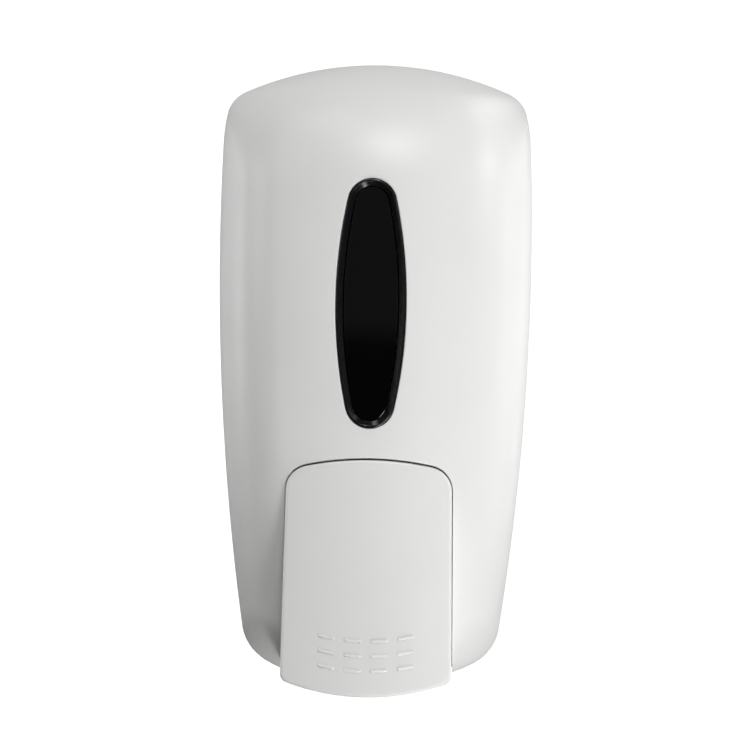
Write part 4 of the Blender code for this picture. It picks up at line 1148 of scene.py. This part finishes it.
def fill(shader_node, **values):
    """Set inputs of a shader node; an underscore stands for a space."""
    for key, value in values.items():
        shader_node.inputs[key.replace("_", " ")].default_value = value


class Finish:
    """One node material built round a Principled shader."""

    def __init__(self, name):
        self.material = bpy.data.materials.new(name)
        self.material.use_nodes = True
        self.nodes = self.material.node_tree.nodes
        self.links = self.material.node_tree.links
        self.shader = self.nodes["Principled BSDF"]
        self.coords = self.nodes.new("ShaderNodeTexCoord").outputs["Object"]

    def set(self, **values):
        fill(self.shader, **values)

    def noise(self, scale, detail=3.0, rough=0.5, stretch=(1, 1, 1)):
        """Noise over the object's own space; stretch squeezes it along an axis."""
        place = self.nodes.new("ShaderNodeMapping")
        fill(place, Scale=stretch)
        self.links.new(self.coords, place.inputs["Vector"])
        noise = self.nodes.new("ShaderNodeTexNoise")
        fill(noise, Scale=scale, Detail=detail, Roughness=rough)
        self.links.new(place.outputs["Vector"], noise.inputs["Vector"])
        return noise.outputs["Fac"]

    def spread(self, source, low, high, start=0.3, end=0.7):
        """Map a value from one range to another."""
        step = self.nodes.new("ShaderNodeMapRange")
        fill(step, From_Min=start, From_Max=end, To_Min=low, To_Max=high)
        self.links.new(source, step.inputs["Value"])
        return step.outputs["Result"]

    def tint(self, source, first, second, start=0.3, end=0.7):
        """Colour that moves from one tone to the other with the source."""
        ramp = self.nodes.new("ShaderNodeValToRGB")
        for stop, place, colour in zip(ramp.color_ramp.elements, (start, end), (first, second)):
            stop.position = place
            stop.color = (*colour, 1.0)
        self.links.new(source, ramp.inputs["Fac"])
        return ramp.outputs["Color"]

    def relief(self, sources, strength, distance):
        """Bump from the sum of several sources."""
        total = sources[0]
        for other in sources[1:]:
            add = self.nodes.new("ShaderNodeMath")
            add.operation = "ADD"
            self.links.new(total, add.inputs[0])
            self.links.new(other, add.inputs[1])
            total = add.outputs["Value"]
        bump = self.nodes.new("ShaderNodeBump")
        fill(bump, Strength=strength, Distance=distance)
        self.links.new(total, bump.inputs["Height"])
        self.links.new(bump.outputs["Normal"], self.shader.inputs["Normal"])

    def plug(self, source, socket):
        self.links.new(source, self.shader.inputs[socket])


def shifted(colour, factor):
    return tuple(min(c * factor, 1.0) for c in colour)


def moulded(name, colour, roughness, grain=1400.0, mottle=0.015, depth=0.00002, strength=0.12):
    """Injection moulded plastic: faint spark texture, slow waviness and uneven sheen."""
    finish = Finish(name)
    fine = finish.noise(grain, 2.0, 0.6)
    slow = finish.noise(26.0, 3.0, 0.5)
    finish.plug(finish.tint(slow, shifted(colour, 1 - mottle), shifted(colour, 1 + mottle)), "Base Color")
    sheen = finish.noise(60.0, 4.0, 0.6)
    finish.plug(finish.spread(sheen, roughness * 0.93, roughness * 1.07), "Roughness")
    finish.relief([fine, finish.spread(slow, 0.0, 1.4)], strength, depth)
    finish.set(IOR=1.5)
    return finish.material


def polished(name, colour, roughness):
    """Glossy dark plastic with a hard coat and faint moulding waves."""
    finish = Finish(name)
    slow = finish.noise(34.0, 2.0, 0.5)
    specks = finish.noise(900.0, 1.0, 0.5)
    finish.plug(finish.tint(slow, shifted(colour, 0.8), shifted(colour, 1.25)), "Base Color")
    finish.plug(finish.spread(specks, roughness * 0.8, roughness * 1.3), "Roughness")
    finish.relief([slow], 0.05, 0.0001)
    finish.set(IOR=1.5)
    return finish.material


def smoked(name):
    """Dark tinted window: polished, with a little depth."""
    finish = Finish(name)
    slow = finish.noise(20.0, 2.0, 0.5)
    finish.plug(finish.tint(slow, (0.0006, 0.0006, 0.0007), (0.0011, 0.0011, 0.0012)), "Base Color")
    haze = finish.noise(1200.0, 2.0, 0.6)
    finish.plug(finish.spread(haze, 0.03, 0.06), "Roughness")
    finish.relief([slow], 0.03, 0.0001)
    finish.set(IOR=1.5)
    return finish.material


def milky(name, colour):
    """Translucent blown plastic with wall thickness streaks."""
    finish = Finish(name)
    streak = finish.noise(30.0, 3.0, 0.55, (1, 1, 0.15))
    fine = finish.noise(500.0, 2.0, 0.5)
    finish.plug(finish.tint(streak, shifted(colour, 0.94), colour), "Base Color")
    finish.plug(finish.spread(fine, 0.28, 0.4), "Roughness")
    finish.relief([streak], 0.15, 0.0004)
    finish.plug(finish.spread(streak, 0.25, 0.4), "Transmission Weight")
    finish.set(IOR=1.5)
    return finish.material


def soft(name, colour, roughness):
    """Rubber or silicone with a dusty surface."""
    finish = Finish(name)
    dust = finish.noise(450.0, 5.0, 0.65)
    finish.plug(finish.tint(dust, shifted(colour, 0.85), shifted(colour, 1.15)), "Base Color")
    finish.plug(finish.spread(dust, roughness - 0.08, min(roughness + 0.08, 1.0)), "Roughness")
    finish.relief([dust], 0.2, 0.00008)
    return finish.material


def steel(name, stretch):
    """Drawn or ground steel with fine lines along one direction."""
    finish = Finish(name)
    lines = finish.noise(700.0, 4.0, 0.6, stretch)
    cloud = finish.noise(90.0, 3.0, 0.5)
    finish.plug(finish.tint(lines, (0.52, 0.52, 0.53), (0.68, 0.68, 0.69)), "Base Color")
    finish.plug(finish.spread(cloud, 0.22, 0.34), "Roughness")
    finish.relief([lines], 0.15, 0.00003)
    finish.set(Metallic=1.0)
    return finish.material


def wear(item, material):
    item.data.materials.clear()
    item.data.materials.append(material)


# -------- studio

def make_sweep():
    """Pale round floor that curves up into a wall on every side."""
    line = [(0.001, FLOOR_Z), (1.0, FLOOR_Z)]
    line += arc(SWEEP_RADIUS, FLOOR_Z + SWEEP_CURVE, SWEEP_CURVE, -90, 0, 16)
    line.append((SWEEP_RADIUS + SWEEP_CURVE, 4.0))
    points, faces = skin([[(r * math.cos(a), r * math.sin(a), z) for a in circle(96)] for r, z in line])
    mesh = bpy.data.meshes.new("sweep")
    mesh.from_pydata(points, [], faces)
    for face in mesh.polygons:
        face.use_smooth = True
    sweep = link("sweep", mesh)
    finish = Finish("sweep_paper")
    fibre = finish.noise(180.0, 4.0, 0.6)
    finish.plug(finish.tint(fibre, (0.86, 0.86, 0.86), (0.9, 0.9, 0.9)), "Base Color")
    finish.plug(finish.spread(fibre, 0.85, 0.95), "Roughness")
    finish.set(Emission_Color=(1.0, 1.0, 1.0, 1.0), Emission_Strength=SWEEP_GLOW)
    wear(sweep, finish.material)
    sweep.visible_diffuse = False
    sweep.visible_glossy = False
    sweep.visible_shadow = False


def area_light(name, azimuth, elevation, distance, width, height, power):
    """Soft box that faces the object from a direction seen from the front."""
    a = math.radians(azimuth)
    e = math.radians(elevation)
    way = Vector((math.sin(a) * math.cos(e), -math.cos(a) * math.cos(e), math.sin(e)))
    data = bpy.data.lights.new(name, "AREA")
    data.shape = "RECTANGLE"
    data.size = width
    data.size_y = height
    data.energy = power
    lamp = link(name, data)
    lamp.location = way * distance + Vector((0, -0.05, 0))
    lamp.rotation_euler = way.to_track_quat("Z", "Y").to_euler()
    lamp.visible_camera = False


def make_room():
    """Dim room light, darker below the horizon."""
    world = bpy.data.worlds.new("studio")
    world.use_nodes = True
    nodes = world.node_tree.nodes
    links = world.node_tree.links
    way = nodes.new("ShaderNodeSeparateXYZ")
    links.new(nodes.new("ShaderNodeTexCoord").outputs["Generated"], way.inputs[0])
    share = nodes.new("ShaderNodeMapRange")
    fill(share, From_Min=-0.01, From_Max=0.02, To_Min=SKY_LOWER, To_Max=SKY_UPPER)
    links.new(way.outputs["Z"], share.inputs["Value"])
    back = nodes["Background"]
    fill(back, Color=(1.0, 1.0, 1.0, 1.0))
    links.new(share.outputs["Result"], back.inputs["Strength"])
    bpy.context.scene.world = world


def make_studio():
    """Soft boxes, dim surroundings and the sweep."""
    make_sweep()
    for row in LIGHTS:
        area_light(*row)
    make_room()
    bpy.context.scene.view_settings.view_transform = "Standard"


def make_camera():
    """Eye level camera a little to the right of the object."""
    data = bpy.data.cameras.new("camera")
    data.sensor_width = 36.0
    data.lens = CAMERA_LENS
    data.clip_start = 0.05
    data.clip_end = 20.0
    camera = link("camera", data)
    camera.location = CAMERA_PLACE
    aim = Vector(CAMERA_AIM) - Vector(CAMERA_PLACE)
    turn = aim.to_track_quat("-Z", "Y").to_matrix() @ Matrix.Rotation(math.radians(CAMERA_ROLL), 3, "Z")
    camera.rotation_euler = turn.to_euler()
    bpy.context.scene.camera = camera


# -------- assembly

def settle(item, body, cad_node, material):
    """Give a piece its finish and its body, and hide the CAD node that it stands for."""
    wear(item, material)
    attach(item, body)
    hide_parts(cad_node)


def hinge_pin(name, side):
    return crisp(headed_pin(name, side, PLATE_EAR_X[0] - GAP, HINGE_Y, HINGE_Z, 10.4))


def lever_pin(name, side):
    return crisp(headed_pin(name, side, LEVER_HALF - LEVER_WALL - GAP, PIVOT_Y, PIVOT_Z, 8.4))


def dress_wall_unit():
    drawn = (0.06, 1, 1)
    rows = [
        (make_back_plate(), "back_plate", moulded("plate_white", COVER_WHITE, 0.45)),
        (hinge_pin("foot_pin_left", -1), "hinge_pin_left", steel("foot_pin_left_steel", drawn)),
        (hinge_pin("foot_pin_right", 1), "hinge_pin_right", steel("foot_pin_right_steel", drawn)),
        (make_lock_keeper(), "lock_keeper", steel("keeper_steel", (1, 0.06, 1))),
        (make_bottle(), "soap_bottle", milky("bottle_plastic", (0.86, 0.9, 0.9))),
        (make_collar_nut(), "collar_nut", moulded("nut_grey", GREY, 0.5, mottle=0.04)),
        (make_collar_gasket(), "collar_gasket", soft("neck_silicone", SILICONE, 0.6)),
        (make_pump_body(), "pump_body", moulded("pump_nylon", NYLON, 0.5, mottle=0.03)),
        (make_inlet_valve(), "inlet_valve", soft("valve_silicone", SILICONE, 0.55)),
        (make_duckbill(), "duckbill_valve", soft("duckbill_silicone", SILICONE, 0.6)),
        (make_nozzle_tip(), "nozzle_tip", moulded("spout_grey", GREY, 0.45, mottle=0.04)),
    ]
    for item, cad_node, material in rows:
        settle(item, "wall_unit", cad_node, material)


def dress_moving_pieces():
    rows = [
        (make_piston_stem(), "piston", "piston_stem", moulded("plunger_nylon", NYLON, 0.45, mottle=0.03)),
        (make_piston_seal(), "piston", "piston_seal", soft("seal_rubber", BLACK, 0.7)),
        (make_piston_cap(), "piston", "piston_cap", moulded("plunger_cap_nylon", NYLON, 0.4, mottle=0.03)),
        (make_filler_cap(), "filler", "filler_cap", moulded("lid_blue", (0.2, 0.33, 0.5), 0.45, mottle=0.05)),
        (make_filler_gasket(), "filler", "filler_gasket", soft("lid_rubber", BLACK, 0.7)),
        (make_lever(), "lever", "push_lever", moulded("lever_white", COVER_WHITE, COVER_ROUGHNESS)),
        (make_push_pad(), "lever", "push_pad", moulded("pad_grey", GREY, 0.5, mottle=0.04)),
        (make_lock_barrel(), "lock", "lock_barrel", steel("plug_steel", (1, 0.06, 1))),
        (make_lock_cam(), "lock", "lock_cam", steel("cam_steel", (1, 0.06, 1))),
        (make_cam_screw(), "lock", "cam_screw", steel("screw_steel", (1, 1, 0.06))),
    ]
    for item, body, cad_node, material in rows:
        settle(item, body, cad_node, material)
    spring = make_spring()
    settle(spring, "wall_unit", "pump_spring", steel("spring_steel", (1, 0.2, 1)))
    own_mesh(spring)
    grips = make_grips()
    wear(grips, moulded("grip_white", COVER_WHITE, COVER_ROUGHNESS))
    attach(grips, "lever")


def dress_cover():
    drawn = (0.06, 1, 1)
    rows = [
        (make_cover(), "front_cover", moulded("cover_white", COVER_WHITE, COVER_ROUGHNESS)),
        (make_bezel(), "window_bezel", polished("bezel_black", (0.005, 0.005, 0.0055), 0.2)),
        (make_lens(), "window_lens", smoked("lens_smoke")),
        (lever_pin("pivot_pin_left", -1), "lever_pin_left", steel("pivot_pin_left_steel", drawn)),
        (lever_pin("pivot_pin_right", 1), "lever_pin_right", steel("pivot_pin_right_steel", drawn)),
        (make_lock_housing(), "lock_housing", moulded("bush_grey", NYLON, 0.45, mottle=0.03)),
    ]
    for item, cad_node, material in rows:
        settle(item, "cover", cad_node, material)


dress_wall_unit()
dress_moving_pieces()
dress_cover()
make_studio()
make_camera()
